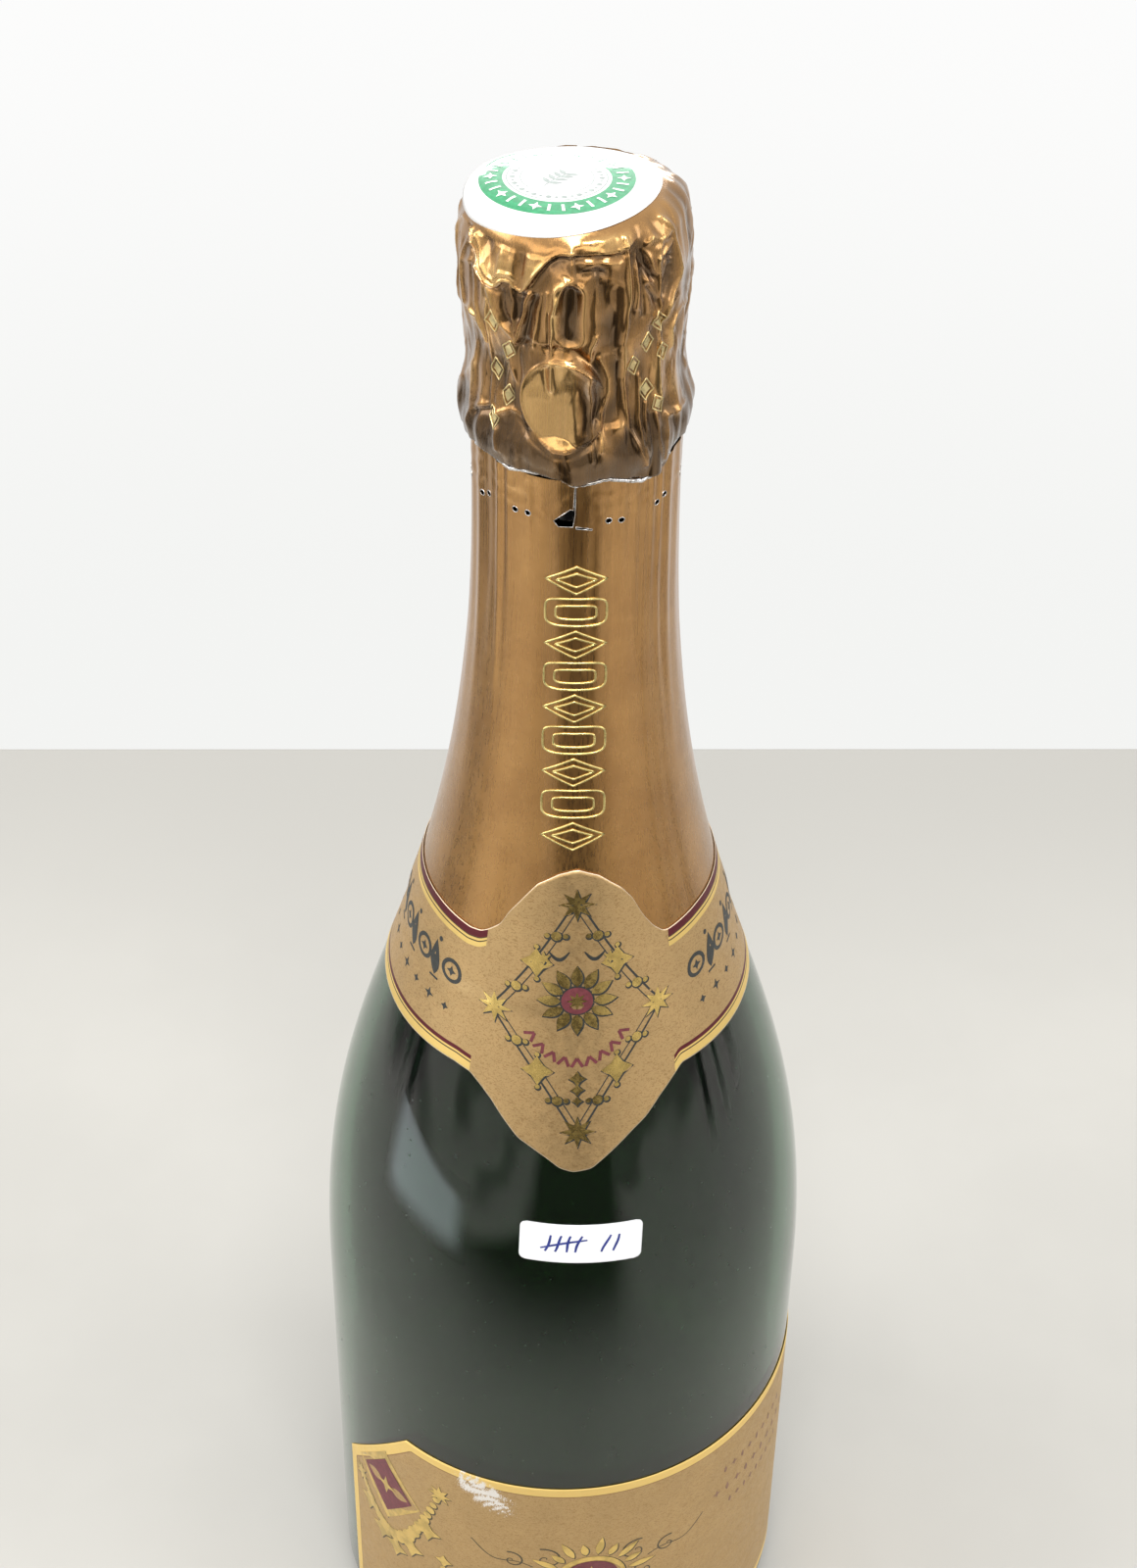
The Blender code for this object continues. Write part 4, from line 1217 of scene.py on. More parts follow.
def makeHood():
    hem, side = hood["hemRows"] / hood["rows"], hood["sideShare"]

    def placeAndPaintedShade(across, up):
        up = (up - hem) / (1.0 - hem)
        along = up / side if up < side else 1.0 + (up - side) / (1.0 - side)
        return hoodPlace(hoodAzimuth(across), min(along, 2.0))

    def place(across, up):
        if up >= hem:
            return placeAndPaintedShade(across, up)[0]
        # the lowest rows turn in and up behind the edge as a hem
        inward = 1.0 - up / hem
        point = hoodPoint(hoodAzimuth(across), 0.035 * inward)
        out = Vector((point.x, point.y, 0.0)).normalized()
        return point - out * (0.22 * min(1.0, 3.0 * inward)) * mm

    def paintedShadeAt(across, up):
        return placeAndPaintedShade(across, up)[1] if up >= hem else 0.0

    # the fold measure carries the painted shade in the hollows and the painted highlight on the crests
    mesh = gridMesh("crumpled_hood", hood["columns"], hood["rows"], place, closed=True,
                    measures={"fold": paintedShadeAt})
    foil = foilMaterial("hood_foil", 0.14, 0.25, 0.8, 1.04, folded=True)
    addPiece("crumpled_hood", mesh, foil, "hood", "foil_hood")


def goldMaterial(name, colour, roughness=0.26):
    # stamped gold: fine pits and a slight change of tone
    gold = newMaterial(name)
    relief(gold, grain(gold, 0.4, 2.0), 0.02, 0.6)
    rough = ramp(gold, grain(gold, 0.8), 0.3, 0.7, roughness, roughness + 0.14)
    return setShader(gold, {"Base Color": mottle(gold, 2.5, colour, toned(colour, 0.72)), "Metallic": 1.0,
                            "Roughness": rough})


def onHood(azimuth, height, lift):
    top, edge = hood["shoulderHeight"], readTable(hood["edge"], azimuth)
    return hoodPoint(azimuth, (height - edge) / (top - edge), lift)


def makeLozenges():
    # outlined gold diamonds printed on the hood's foil, down both sides of the front
    halfWide, halfHigh = (side / 2 for side in hood["lozengeSize"])
    corners = [(0, halfHigh), (halfWide, 0), (0, -halfHigh), (-halfWide, 0), (0, halfHigh)]
    sides = alongCorners(corners, 5)[:-1]
    paths = []
    bm = bmesh.new()
    for x, y, turn in hood["lozenges"]:
        azimuth, height = fromPhoto(x, y)

        def place(across, up, lift):
            across, up = turned(across, up, radians(turn))
            return onHood(azimuth + degrees(across / hood["meanRadius"]), height + up, lift)
        paths.append([place(across, up, 0.05) for across, up in sides])
        outer, inner = ([bm.verts.new(place(across * share, up * share, 0.06)) for across, up in sides]
                        for share in (0.62, 0.3))
        middle = bm.verts.new(place(0.0, 0.0, 0.06))
        for k in range(len(sides)):
            after = (k + 1) % len(sides)
            bm.faces.new((outer[k], outer[after], inner[after], inner[k]))
            bm.faces.new((inner[k], inner[after], middle))
    bmesh.ops.recalc_face_normals(bm, faces=bm.faces[:])
    gold = goldMaterial("hood_gold", hood["gold"])
    mesh = tubeMesh("hood_lozenges", paths, hood["goldLine"], cyclic=True, sides=1)
    addPiece("hood_lozenges", mesh, gold, "hood")
    addPiece("lozenge_middles", meshFrom(bm, "lozenge_middles"), gold, "hood")


def makeApronHem():
    # the rolled rim of the foil folded down from the crown, in a lighter bronze that is a painted highlight
    # along it
    path, top = [], hood["shoulderHeight"]
    for i in range(81):
        azimuth = -63.0 + 26.0 * i / 80
        height, edge = readSmooth(hood["apron"], azimuth) + 0.05, readTable(hood["edge"], azimuth)
        along = (height - edge) / (top - edge) if height <= top else 1.0 + (height - top) / 10.0
        ends = between(i, 0, 8) * between(i, 80, 60)
        path.append(hoodPoint(azimuth, along, -0.3 + ends * (0.35 + 0.1 * wander(azimuth * 0.5, 3.0, 8.0))))
    rim = mottledMaterial("rolled_rim_highlight", 1.2, *hood["rimHighlightTones"], {"Metallic": 1.0, "Roughness": 0.2})
    addPiece("apron_hem", tubeMesh("apron_hem", [path], hood["rimRadius"]), rim, "hood")


makeHood()
makeApronHem()
makeLozenges()
print("hood made")


# Cork and cage under the hood
stopper = {
    "discs": [("cork_slice_low", "cork_disc_lower", 276.0), ("cork_slice_high", "cork_disc_upper", 282.3)],
    "discHeight": 6.0,
    "radius": 8.45,
    "shankLow": 288.6,
    "seat": 300.3,
    "headTop": 315.3,
    "headRadius": 14.6,
    "crownRound": 2.0,
    "bellyRound": 3.2,
    "footRound": 0.4,
    "discRound": 0.3,
    "granules": ((0.56, 0.36, 0.19), (0.40, 0.23, 0.11)),
    "plain": ((0.62, 0.42, 0.25), (0.50, 0.31, 0.17)),
    "pits": (0.16, 0.08, 0.04),
}


def corkMaterial(name, tones, grainSize):
    cork = newMaterial(name)
    cells = addNode(cork, "ShaderNodeTexVoronoi", {"Vector": objectPlace(cork),
                                                   "Scale": 1.0 / (grainSize * mm)})
    split = addNode(cork, "ShaderNodeSeparateColor", {"Color": cells.outputs["Color"]})
    pits = ramp(cork, grain(cork, 0.7, 4.0), 0.6, 0.72)
    tone = blendColour(cork, pits, blendColour(cork, split.outputs[0], *tones), stopper["pits"])
    edge = ramp(cork, cells.outputs["Distance"], 0.2, 0.75)
    relief(cork, calc(cork, "SUBTRACT", product(cork, edge, -0.5), pits), 0.15, 0.8)
    return setShader(cork, {"Base Color": tone, "Roughness": 0.85})


def makeCork():
    shank, foot, head = stopper["radius"], stopper["shankLow"], stopper["headRadius"]
    seat, top = stopper["seat"], stopper["headTop"]
    crown, belly, edge = stopper["crownRound"], stopper["bellyRound"], stopper["footRound"]
    outline = ([(0.0, top)] + roundCorner(head - crown, top - crown, crown, 90, 0, 8)
               + roundCorner(head - belly, seat + belly, belly, 0, -90, 10)
               + [(shank + 0.35, seat), (shank, seat - 0.35)]
               + roundCorner(shank - edge, foot + edge, edge, 0, -90, 4) + [(0.0, foot)])
    addPiece("cork_stopper", spunMesh("cork_stopper", outline, 96, sharp=40),
             corkMaterial("cork_granules", stopper["granules"], 2.2), "cork", "cork_body",
             smooth=False)
    edge = stopper["discRound"]
    for name, node, low in stopper["discs"]:
        high = low + stopper["discHeight"]
        outline = ([(0.0, high)] + roundCorner(shank - edge, high - edge, edge, 90, 0, 3)
                   + roundCorner(shank - edge, low + edge, edge, 0, -90, 3) + [(0.0, low)])
        addPiece(name, spunMesh(name, outline, 72, sharp=40), corkMaterial(name, stopper["plain"], 9.0),
                 "cork", node, smooth=False)


def steelMaterial():
    steel = newMaterial("cage_steel")
    rough = ramp(steel, grain(steel, 0.5), 0.3, 0.7, 0.22, 0.38)
    return setShader(steel, {"Base Color": mottle(steel, 1.2, *cage["steels"], 0.35, 0.7), "Metallic": 1.0,
                             "Roughness": rough})


def twistedStrands(path):
    # two thin wires wound round each other along a path of (radius, height), in the plane of one azimuth
    fine = []
    for (r0, z0), (r1, z1) in zip(path, path[1:]):
        steps = max(2, round(hypot(r1 - r0, z1 - z0) / 0.45))
        fine += [(r0 + (r1 - r0) * i / steps, z0 + (z1 - z0) * i / steps) for i in range(steps)]
    fine.append(path[-1])
    strands = ([], [])
    for strand, phase in zip(strands, (0.0, pi)):
        run = 0.0
        for i, (r, z) in enumerate(fine):
            dr, dz = heading(fine, i)
            run += dist(fine[i], fine[max(i - 1, 0)])
            out, side = spot(0.0, 0.0, cage["strandOrbit"], 2 * pi * run / cage["twistPitch"] + phase)
            strand.append((r - dz * out, side, z + dr * out))
    return strands


def makeCage():
    steel = steelMaterial()
    paths = [[around(r, azimuth + degrees(side / r), z) for r, side, z in strand]
             for azimuth in cage["legAngles"] for strand in twistedStrands(cage["leg"])]
    mesh = tubeMesh("cage_legs", paths, cage["strandRadius"], sides=1)
    addPiece("cage_legs", mesh, steel, "cage", "cage_wire")
    for name, radius, height, node in (("cage_ring", cage["ringRadius"], cage["ringHeight"], None),
                                       ("neck_belt", cage["beltRadius"], cage["beltHeight"], "cage_belt")):
        ring = [around(radius, 3.0 * i, height) for i in range(120)]
        mesh = tubeMesh(name, [ring], cage["wire"] / 2, cyclic=True, sides=3)
        addPiece(name, mesh, steel, "cage", node)

    # the loop: a ring, and two strands of the same wire twisted as its stem down to the belt
    middle, azimuth, reach = cage["loopRadius"], cage["loopAzimuth"], cage["loopRingRadius"]
    opening, ring, strands = cage["loopOpening"], [], []
    for t in shares(48):
        across, up = spot(0.0, 0.0, reach, radians(-90 + opening + (360 - 2 * opening) * t))
        ring.append(around(middle, azimuth + degrees(across / middle), cage["loopRingHeight"] + up))
    low, high = cage["beltHeight"] + cage["wire"] / 2, cage["loopRingHeight"] - reach
    for phase in (pi, 0.0):
        strand = []
        for share in shares(36):
            over = max(0.0, (share - cage["stemBend"]) / (1 - cage["stemBend"]))
            centre = cage["stemRadius"] + (middle - cage["stemRadius"]) * over * over
            across, out = spot(0.0, 0.0, cage["stemOrbit"] * (1.0 - 0.5 * over),
                               2 * pi * cage["stemTurns"] * share + phase)
            strand.append(around(centre + out, azimuth + degrees(across / centre),
                                 low + share * (high - low)))
        strands.append(strand)
    route = strands[0][:-1] + ring + strands[1][-2::-1]
    mesh = tubeMesh("wire_loop", [route], cage["wire"] / 2, sides=3)
    addPiece("wire_loop", mesh, steel, "loop", "twist_loop")


def plateMaterial():
    # lacquered tinplate with a burgundy ring and a rayed gold middle
    plate = newMaterial("plate_lacquer")
    across, along, _ = splitPlace(plate)
    radius = fromAxis(plate, across, along)
    ring = product(plate, ramp(plate, radius, 7.4 * mm, 7.5 * mm), ramp(plate, radius, 9.2 * mm, 9.1 * mm))
    tone = mottle(plate, 1.5, *cage["plateGolds"], 0.35, 0.7)
    rays = calc(plate, "COSINE", product(plate, calc(plate, "ARCTAN2", along, across), 16.0))
    relief(plate, product(plate, rays, ramp(plate, radius, 6.6 * mm, 5.4 * mm)), 0.12, 0.8)
    return setShader(plate, {"Base Color": blendColour(plate, ring, tone, cage["plateRed"]), "Metallic": 1.0,
                             "Roughness": 0.3})


def makePlate():
    mesh = spunMesh("cork_plate", cage["plate"], 96, sharp=50)
    addPiece("cork_plate", mesh, plateMaterial(), "cage", "cage_plate", smooth=False)


makeCork()
makeCage()
makePlate()
print("cork and cage made")


# Paper labels and what is printed on them
labels = {
    "thickness": 0.12,
    "gap": 0.08,
    "foilStep": 0.44,
    # length along the sloping paper per millimetre of height, and the other way about
    "slant": 1.045,
    "climb": 0.957,
    # height of the collar's edges by azimuth
    "collarTop": [(-168, 193.8), (-60, 193.8), (-40, 193.4), (-35, 193.8), (-32, 194.6), (-27, 196.5),
                  (-24, 199.2), (-17, 203.3), (-13, 205.4), (-4, 207.6), (2, 208.3), (4.4, 208.4),
                  (13, 207.2), (22.5, 204.2), (27, 201.8), (31, 198.0), (35, 195.3), (39, 193.6),
                  (41.6, 193.3), (60, 193.8), (168, 193.8)],
    "collarLow": [(-168, 168.6), (-60, 168.6), (-36, 168.7), (-30, 168.2), (-26, 166.7), (-22, 164.8),
                  (-18, 162.2), (-13, 159.1), (-9, 157.7), (-4.5, 155.9), (-1, 154.2), (2.5, 153.5),
                  (7.4, 154.0), (12, 156.3), (19, 159.8), (24, 161.9), (29, 164.7), (33.5, 166.7),
                  (38, 168.6), (60, 168.6), (168, 168.6)],
    # bands along the collar's upper and lower edge: where each begins and ends, and its colour
    "upperBands": [(0.12, 1.55, "burgundy"), (1.55, 1.72, "ink"), (1.72, 2.2, "gold"), (2.2, 2.42, "ink"),
                   (2.42, 3.35, "gold")],
    "lowerBands": [(0.0, 1.6, "gold"), (1.6, 1.82, "ink"), (1.82, 2.2, "gold"), (2.2, 2.95, "burgundy")],
    "shieldMiddle": (3.7, 181.5),
    # frame on the shield: half width, half height and bow
    "frame": (14.6, 22.6, 0.05),
    "rosetteHeight": 3.4,
    "bandMiddle": 181.6,
    "bandRadius": 27.4,
    "tan": (0.56, 0.375, 0.175),
    "fleck": (0.33, 0.19, 0.07),
    "gold": (0.84, 0.60, 0.20),
    "burgundy": (0.13, 0.022, 0.03),
    "ink": (0.018, 0.02, 0.018),
    "cutEdge": (0.75, 0.62, 0.45),
    "frontInk": (0.06, 0.045, 0.02),
    "faintInk": (0.2, 0.1, 0.06),
    "edgeLine": (0.3, 0.17, 0.07),
    "bareFibre": (0.86, 0.82, 0.78),
    "frontLow": 10.0,
    "frontHigh": 75.2,
    "frontLeft": -66.0,
    "frontRight": 96.0,
    "cutAzimuth": -40.0,
    "cutHeight": 52.2,
    "frontTan": (0.51, 0.34, 0.15),
    "border": 2.3,
    "lozengePlace": (-36.6, 55.4),
    "roundelPlace": (6.6, 47.0),
    # rows of faint marks: first place, number and size
    "faintRows": [(35.0, 63.8, 9, 1.0), (33.0, 57.8, 12, 1.15), (37.0, 52.6, 9, 0.9)],
    "stickerPlace": (4.7, 139.2),
    "stickerSize": (21.0, 8.2),
    "stickerTurn": -2.6,
    "stickerCorner": 1.2,
    "slipWhites": ((0.90, 0.91, 0.94), (0.86, 0.87, 0.90)),
    "pen": (0.02, 0.035, 0.22),
    "tally": (-5.6, -3.9, -2.2, -0.5, 4.2, 6.0),
}


def paperRadius(height):
    # over the foil the collar stands off by the foil's thickness, below it the paper lies on the glass
    return glassRadius(height) + labels["gap"] + labels["foilStep"] * between(height, 180.5, 184.5)


def paperMaterial(name, colour, metallic, roughness, marks):
    # metallised paper: short dark flecks, a soft sheen and the bands given as (mask, colour) pairs
    paper = newMaterial(name)
    fine = ramp(paper, grain(paper, 0.27, 2.0, stretch=(0.6, 0.6, 1.0), distortion=1.2), 0.52, 0.62)
    broad = ramp(paper, grain(paper, 7.0), 0.3, 0.7)
    tone = blendColour(paper, product(paper, broad, 0.5), colour, toned(colour, 0.86))
    tone = blendColour(paper, product(paper, fine, 0.6), tone, labels["fleck"])
    for mask, paint in marks(paper):
        tone = blendColour(paper, mask, tone, paint)
    relief(paper, grain(paper, 0.6, 3.0), 0.03, 0.6)
    rough = ramp(paper, grain(paper, 1.5), 0.3, 0.7, roughness - 0.05, roughness + 0.07)
    return setShader(paper, {"Base Color": tone, "Metallic": metallic, "Roughness": rough})


def strip(paper, distance, low, high, soft=0.06):
    # 1 between two distances, with thin soft edges
    return product(paper, ramp(paper, distance, low - soft, low + soft),
                   ramp(paper, distance, high + soft, high - soft))


def collarMarks(paper):
    top, low, off = (attribute(paper, key) for key in ("fromTop", "fromLow", "offShield"))
    onBand = ramp(paper, off, -0.1, 0.1)
    marks = [(product(paper, strip(paper, distance, start, end), onBand), labels[paint])
             for distance, bands in ((top, labels["upperBands"]), (low, labels["lowerBands"]))
             for start, end, paint in bands]
    edge = calc(paper, "MINIMUM", top, low)
    return marks + [(ramp(paper, edge, 0.2, 0.1), labels["cutEdge"])]


def makeCollar():
    first, last = labels["collarTop"][0][0], labels["collarTop"][-1][0]

    def reading(across, up):
        # columns lie closer together on the shield
        away = abs(across - 0.5) * 2
        away = away / 0.45 * 46.0 if away < 0.45 else 46.0 + (away - 0.45) / 0.55 * (last - 50.0)
        azimuth = labels["shieldMiddle"][0] + (away if across > 0.5 else -away)
        azimuth = min(max(azimuth, first), last)
        low, high = readSmooth(labels["collarLow"], azimuth), readSmooth(labels["collarTop"], azimuth)
        return azimuth, low + (high - low) * up, low, high

    def place(across, up):
        azimuth, height, _, _ = reading(across, up)
        return around(paperRadius(height), azimuth, height)

    def fromTop(across, up):
        _, height, _, high = reading(across, up)
        return (high - height) * labels["slant"]

    def fromLow(across, up):
        _, height, low, _ = reading(across, up)
        return (height - low) * labels["slant"]

    def offShield(across, up):
        azimuth, height, _, _ = reading(across, up)
        share = (height - 169.0) / 24.0
        return max(azimuth - (35.5 + 5.8 * share), (-30.4 - 1.4 * share) - azimuth)

    mesh = gridMesh("neck_collar", 330, 72, place,
                    measures={"fromTop": fromTop, "fromLow": fromLow, "offShield": offShield})
    paper = paperMaterial("collar_paper", labels["tan"], 0.75, 0.42, collarMarks)
    item = addPiece("neck_collar", mesh, paper, "bottle", "collar_label")
    thicken(item, labels["thickness"], offset=1.0)


def addPrint(name, material, body, wrap, lift, shapes, strokes=()):
    # printed shapes on a curved surface: each outline a fan of faces round its middle, each stroke a ribbon
    bm = bmesh.new()
    for outline in shapes:
        middle = [sum(point[k] for point in outline) / len(outline) for k in (0, 1)]
        hub = bm.verts.new(wrap(*middle, lift))
        rim = [bm.verts.new(wrap(*point, lift)) for point in outline]
        for first, second in zip(rim, rim[1:] + rim[:1]):
            bm.faces.new((hub, first, second))
    for path, width in strokes:
        pairs = []
        for i, (x, y) in enumerate(path):
            dx, dy = heading(path, i)
            half = width(i / (len(path) - 1)) / 2 if callable(width) else width / 2
            pairs.append([bm.verts.new(wrap(x + side * dy * half, y - side * dx * half, lift))
                          for side in (-1, 1)])
        for (a, b), (c, d) in zip(pairs, pairs[1:]):
            bm.faces.new((a, b, d, c))
    bmesh.ops.recalc_face_normals(bm, faces=bm.faces[:])
    addPiece(name, meshFrom(bm, name), material, body)


def starShape(points, outer, inner, x=0.0, y=0.0, start=pi / 2):
    return [spot(x, y, inner if i % 2 else outer, start + pi * i / points) for i in range(2 * points)]


def leafShape(length, width, x, y, turn):
    side = [(length * t, width / 2 * sin(pi * t ** 0.8)) for t in shares(8)]
    return [turned(px, py, turn, x, y) for px, py in side + [(px, -py) for px, py in side[-2:0:-1]]]


def grownShape(outline, by, drop=(0.12, -0.16)):
    # the same outline, larger all round and set a little aside, for a printed shadow
    middle = [sum(point[k] for point in outline) / len(outline) for k in (0, 1)]
    grown = []
    for x, y in outline:
        share = by / (dist((x, y), middle) or 1.0)
        grown.append((x + (x - middle[0]) * share + drop[0], y + (y - middle[1]) * share + drop[1]))
    return grown


def onCollar(x, y, lift=0.0):
    # x mm to the right and y mm up from the middle of the shield
    azimuth, height = labels["shieldMiddle"]
    height += y * labels["climb"]
    radius = paperRadius(height) + labels["thickness"]
    return around(radius + lift, azimuth + degrees(x / radius), height)


def inkMaterial(name, colour, roughness=0.5, coat=0.0):
    values = {"Roughness": roughness, "Coat Weight": coat, "Coat Roughness": 0.08}
    return mottledMaterial(name, 0.8, colour, tuple(c * 1.35 + 0.004 for c in colour), values, 0.35, 0.7)


def makeCollarPrint():
    wide, high, bow = labels["frame"]
    corners = [(0, high), (wide, 0), (0, -high), (-wide, 0), (0, high)]
    outer = alongCorners(corners, 20, bow)
    strokes = [(outer, 0.36), ([(x * 0.9, y * 0.9) for x, y in outer], 0.2)]
    gold, red = [], []
    for k, (x, y) in enumerate(alongCorners(corners, 4, bow)[:-1]):
        x, y = x * 0.95, y * 0.95
        if k % 4 == 0:
            gold.append(starShape(8, 3.0, 1.35, x, y))
        elif k % 4 == 2:
            gold += [starShape(4, 2.7, 1.5, x, y), circle(0.42, x, y + 3.0, 10), circle(0.42, x, y - 3.0, 10)]
        else:
            gold += [circle(0.85, x, y, 14)] + [circle(0.45, x + side * 1.5, y, 10) for side in (-1, 1)]
    # rosette with a burgundy middle, and under it a hanging arc of burgundy chevrons and gold drops
    hub = labels["rosetteHeight"]
    for k in range(12):
        angle = 2 * pi * k / 12
        gold.append(leafShape(3.9, 1.9, *spot(0.0, hub, 2.7, angle), angle))
    for k in range(9):
        angle = radians(218 + 13 * k)
        for arm in (-1, 1):
            red.append(([turned(px, py, angle + pi / 2, 9.6 * cos(angle), 3.6 + 12.0 * sin(angle))
                         for px, py in ((-0.95 * arm, -0.8), (0.0, 0.8))], 0.55))
    for k, size in enumerate((1.1, 0.9, 0.7)):
        gold.append(starShape(4, size * 1.3, size * 0.7, 0.0, -11.4 - 2.1 * k))
    for side in (-1, 1):
        gold.append(starShape(6, 1.3, 0.6, side * 5.4, 11.2))
        scroll = [(side * (1.2 + 3.4 * t), 12.6 - 1.5 * sin(pi * t)) for t in shares(12)]
        strokes.append((scroll, lambda t: 0.2 + 0.5 * sin(pi * t)))
    dark = [grownShape(outline, 0.2) for outline in gold]
    for name, material, lift, shapes, lines in (
            ("collar_ink", inkMaterial("collar_ink", labels["ink"]), 0.02,
             dark + [circle(2.9, 0.0, hub, 24)], strokes),
            ("collar_gilding", goldMaterial("collar_gold", labels["gold"], 0.2), 0.045, gold, ()),
            ("collar_red", inkMaterial("collar_red", labels["burgundy"]), 0.05,
             [circle(2.6, 0.0, hub, 24)], red),
            ("collar_star", goldMaterial("collar_star", labels["gold"], 0.2), 0.07,
             [starShape(8, 1.7, 0.8, 0.0, hub)], ())):
        addPrint(name, material, "bottle", onCollar, lift, shapes, lines)


def makeBandPrint():
    # a dark frieze along both arms of the band: upright leaves, rings and dots in two rows
    def onBand(x, y, lift):
        # measured along the band's middle, so that the frieze follows it all the way round
        level = labels["bandMiddle"] + y * labels["climb"]
        azimuth = labels["shieldMiddle"][0] + degrees(x / labels["bandRadius"])
        return around(paperRadius(level) + labels["thickness"] + lift, azimuth, level)

    shapes, strokes = [], []
    for side in (-1, 1):
        for k in range(15):
            x = side * (23.0 + 3.9 * k)
            if k % 2:
                shapes += [leafShape(7.0, 2.5, x, -1.2, pi / 2 - side * 0.12), circle(0.5, x, 6.3, 8)]
                strokes.append(([(x - 1.1, -1.6), (x + 1.1, -1.6)], 0.4))
            else:
                ring = circle(2.0, x, 2.2, 20)
                strokes.append((ring + ring[:1], 0.75))
                shapes.append(starShape(4, 1.1, 0.5, x, 2.2))
            shapes.append(starShape(4, 1.2 if k % 2 else 0.8, 0.4, x, -5.0))
    addPrint("band_ink", inkMaterial("band_ink", labels["ink"]), "bottle", onBand, 0.03,
             shapes, strokes)


def frontMarks(paper):
    edge, scuff, border = attribute(paper, "fromEdge"), attribute(paper, "scuff"), labels["border"]
    fibres = grain(paper, 0.5, 5.0, 0.75, stretch=(1.0, 1.0, 0.35), distortion=2.5)
    torn = calc(paper, "GREATER_THAN", calc(paper, "MULTIPLY_ADD", scuff, 0.42, fibres), 0.82)
    return [(strip(paper, edge, -1.0, border), labels["gold"]),
            (strip(paper, edge, border, border + 0.22), labels["edgeLine"]), (torn, labels["bareFibre"])]


def makeFront():
    left, right, cut = labels["frontLeft"], labels["frontRight"], labels["cutAzimuth"]
    low, high, cutLow = labels["frontLow"], labels["frontHigh"], labels["cutHeight"]
    scale = radians(1.0) * glass["bodyRadius"]
    slope = Vector(((cut - left) * scale, high - cutLow)).normalized()

    def reading(across, up):
        share = across / 0.2
        azimuth = left + (cut - left) * share if share < 1 else cut + (right - cut) * (across - 0.2) / 0.8
        top = min(high, cutLow + (high - cutLow) * (azimuth - left) / (cut - left))
        return azimuth, low + (top - low) * up

    def place(across, up):
        azimuth, height = reading(across, up)
        return around(paperRadius(height), azimuth, height)

    def fromEdge(across, up):
        azimuth, height = reading(across, up)
        x = azimuth * scale
        toCut = (x - left * scale) * slope.y - (height - cutLow) * slope.x
        return min(high - height, x - left * scale, right * scale - x, height - low, toCut)

    def scuff(across, up):
        azimuth, height = reading(across, up)
        x, y = (azimuth + 18.0) * scale / 8.5, (height - 70.6 + 0.4 * (azimuth + 18.0)) / 6.0
        streaks = 0.35 * sin(4.0 * (azimuth + 24.0) / (0.25 + 0.05 * max(0.0, 76.0 - height)))
        return max(0.0, 1.0 - x * x - y * y) * (1.0 + streaks)

    mesh = gridMesh("body_label", 210, 90, place, measures={"fromEdge": fromEdge, "scuff": scuff})
    paper = paperMaterial("front_paper", labels["frontTan"], 0.6, 0.5, frontMarks)
    item = addPiece("body_label", mesh, paper, "bottle", "front_label")
    thicken(item, labels["thickness"], offset=1.0)


def onFront(x, y, lift=0.0):
    # x mm along the wall from azimuth 0, y the height
    radius = paperRadius(y) + labels["thickness"]
    return around(radius + lift, degrees(x / glass["bodyRadius"]), y)


